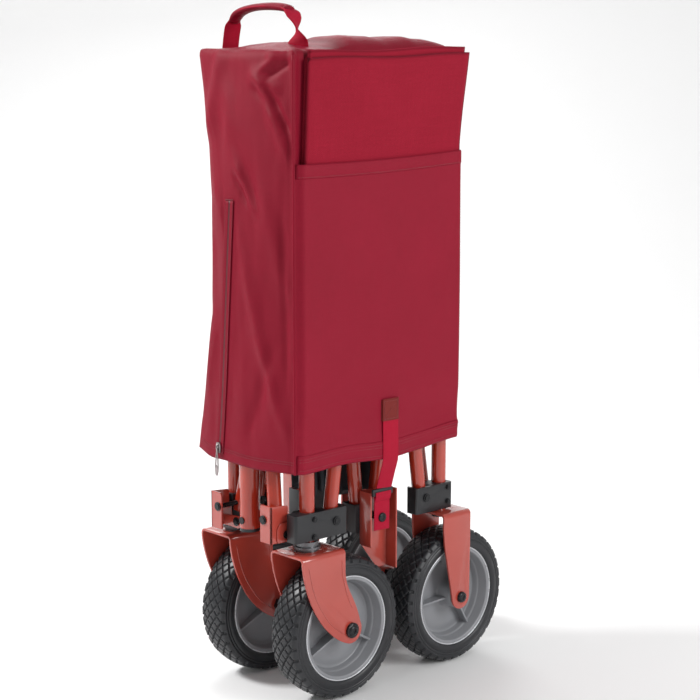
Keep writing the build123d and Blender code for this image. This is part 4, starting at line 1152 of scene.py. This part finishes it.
place(ribbon("strap_over_slide", path, STRAP_WIDE, STRAP_HALF - 0.9, 0.8, WEBBING), "frame", "webbing")
rivet_low, rivet_high = box("strap_rivet")
at = (STRAP_X, LOWER_LOW.y, (rivet_low.z + rivet_high.z) / 2)
place(dome("strap_snap", at, 6.0, 2.6, -1, BOLT), "frame", "fastener")


# ---------------------------------------------------------------- gathered wagon fabric


TUB_MIDDLE = (TUB_LOW.x + TUB_HIGH.x) / 2
TUB_COLUMNS = 260


def rounded_square(wave):
    """A sine or cosine pushed out towards a square's corners."""
    return math.copysign(abs(wave) ** 0.5, wave)


def drawn_in(row, wide, thick, lift):
    """A ring shrunk about the bundle's middle, and lifted."""
    return np.array(row) * (wide, thick, 1) + (TUB_MIDDLE * (1 - wide), 0, lift)


def tub_rows():
    """Deep vertical folds round a flattened bundle, drawn up unevenly at the foot."""
    wide = (TUB_HIGH.x - TUB_LOW.x) / 2 - 1
    thick = (TUB_HIGH.y - TUB_LOW.y) / 2 - 1
    made = []
    for v in np.linspace(0, 1, 60):
        belly = 0.90 + 0.10 * math.sin(math.pi * min(1, v * 1.4 + 0.12))
        row = []
        for k in range(TUB_COLUMNS):
            a = 2 * math.pi * k / TUB_COLUMNS
            gather = 0.5 + 0.5 * math.sin(a * 19 + 1.2 * math.sin(v * 5 + a * 3))
            x = TUB_MIDDLE + rounded_square(math.cos(a)) * wide * (1 - 0.05 * gather) * belly
            y = rounded_square(math.sin(a)) * thick * (1 - 0.16 * gather) * belly
            foot = TUB_LOW.z + 6 + 5 * math.sin(a * 5) + 4 * gather
            row.append((x, y, foot + v * (TUB_HIGH.z - 4 - foot)))
        made.append(row)
    inner = [drawn_in(made[0], 0.86, 0.7, lift) for lift in (16, 3)]
    lid = [drawn_in(made[-1], size, size, lift) for size, lift in ((0.9, 1.5), (0.5, 2.5), (0.05, 3))]
    return np.array(inner + made + lid)


# The tub's cloth is dark grey painted shade, not its own red.
tub = cloth("gathered_tub_fabric", tub_rows(), TUB_CLOTH_PAINTED_SHADE, wrap=True, thickness=0.8)
place(tub, "frame", "tub_fabric", "fabric_tub")


# ---------------------------------------------------------------- stage, light and camera


STAGE_NEAR, STAGE_BACK, STAGE_SIDE, STAGE_RISE, STAGE_CURVE = -5000.0, 2700.0, 6000.0, 5000.0, 1400.0
STAGE_TURN = math.radians(-43)
# Metres: the camera's place, its target and its lens in millimetres; then each lamp's place, size and watts.
CAMERA_AT, CAMERA_TARGET, LENS = (-1.3616, -1.4637, 0.7277), (-0.0066, 0.0008, 0.4184), 80.86
LAMP_TARGET = (0, 0, 0.42)
LAMPS = (
    ("key", (-1.3, 1.2, 1.9), (0.5, 0.5), 52),
    ("side", (0.5, -2.3, 1.3), (0.9, 1.3), 36),
    ("rim", (1.2, 1.6, 1.9), (1.2, 1.2), 15),
)


def stage():
    """A pale floor that curves up into a backdrop."""
    foot = STAGE_BACK - STAGE_CURVE
    profile = [(STAGE_NEAR, 0), (foot, 0)]
    profile += [(foot + STAGE_CURVE * math.sin(a), STAGE_CURVE * (1 - math.cos(a)))
                for a in np.linspace(0.1, math.pi / 2, 14)]
    profile += [(STAGE_BACK, STAGE_RISE)]
    ahead = np.array((-math.sin(STAGE_TURN), math.cos(STAGE_TURN), 0))
    aside = np.array((math.cos(STAGE_TURN), math.sin(STAGE_TURN), 0))
    sheet = [[ahead * along + aside * side + np.array((0, 0, up)) for side in (-STAGE_SIDE, STAGE_SIDE)]
             for along, up in profile]
    material, tree, shader = begin("pale_stage", 0.75)
    shade = noise_value(tree, object_coords(tree), 2.0, 2.0)
    coloured(tree, shader, shade, (0.90, 0.90, 0.90), (0.93, 0.93, 0.93))
    obj = new_object("studio_sweep", sheet, grid_faces(len(profile), 2, False), material)
    tidy_normals(obj)


def aimed(name, data, at, target):
    """Put a lamp or camera at a place, facing a target."""
    obj = bpy.data.objects.new(name, data)
    bpy.context.scene.collection.objects.link(obj)
    obj.location = at
    obj.rotation_euler = (Vector(target) - Vector(at)).to_track_quat("-Z", "Y").to_euler()
    return obj


stage()
for name, at, size, power in LAMPS:
    data = bpy.data.lights.new(name, "AREA")
    data.shape = "RECTANGLE"
    data.size, data.size_y = size
    data.energy = power
    aimed(name, data, at, LAMP_TARGET)
world = bpy.data.worlds.new("studio")
world.use_nodes = True
world.node_tree.nodes["Background"].inputs[0].default_value = (1, 1, 1, 1)
world.node_tree.nodes["Background"].inputs[1].default_value = 0.5
bpy.context.scene.world = world
bpy.context.scene.view_settings.view_transform = "Standard"
data = bpy.data.cameras.new("camera")
data.lens = LENS
data.sensor_width = 36
bpy.context.scene.camera = aimed("camera", data, CAMERA_AT, CAMERA_TARGET)
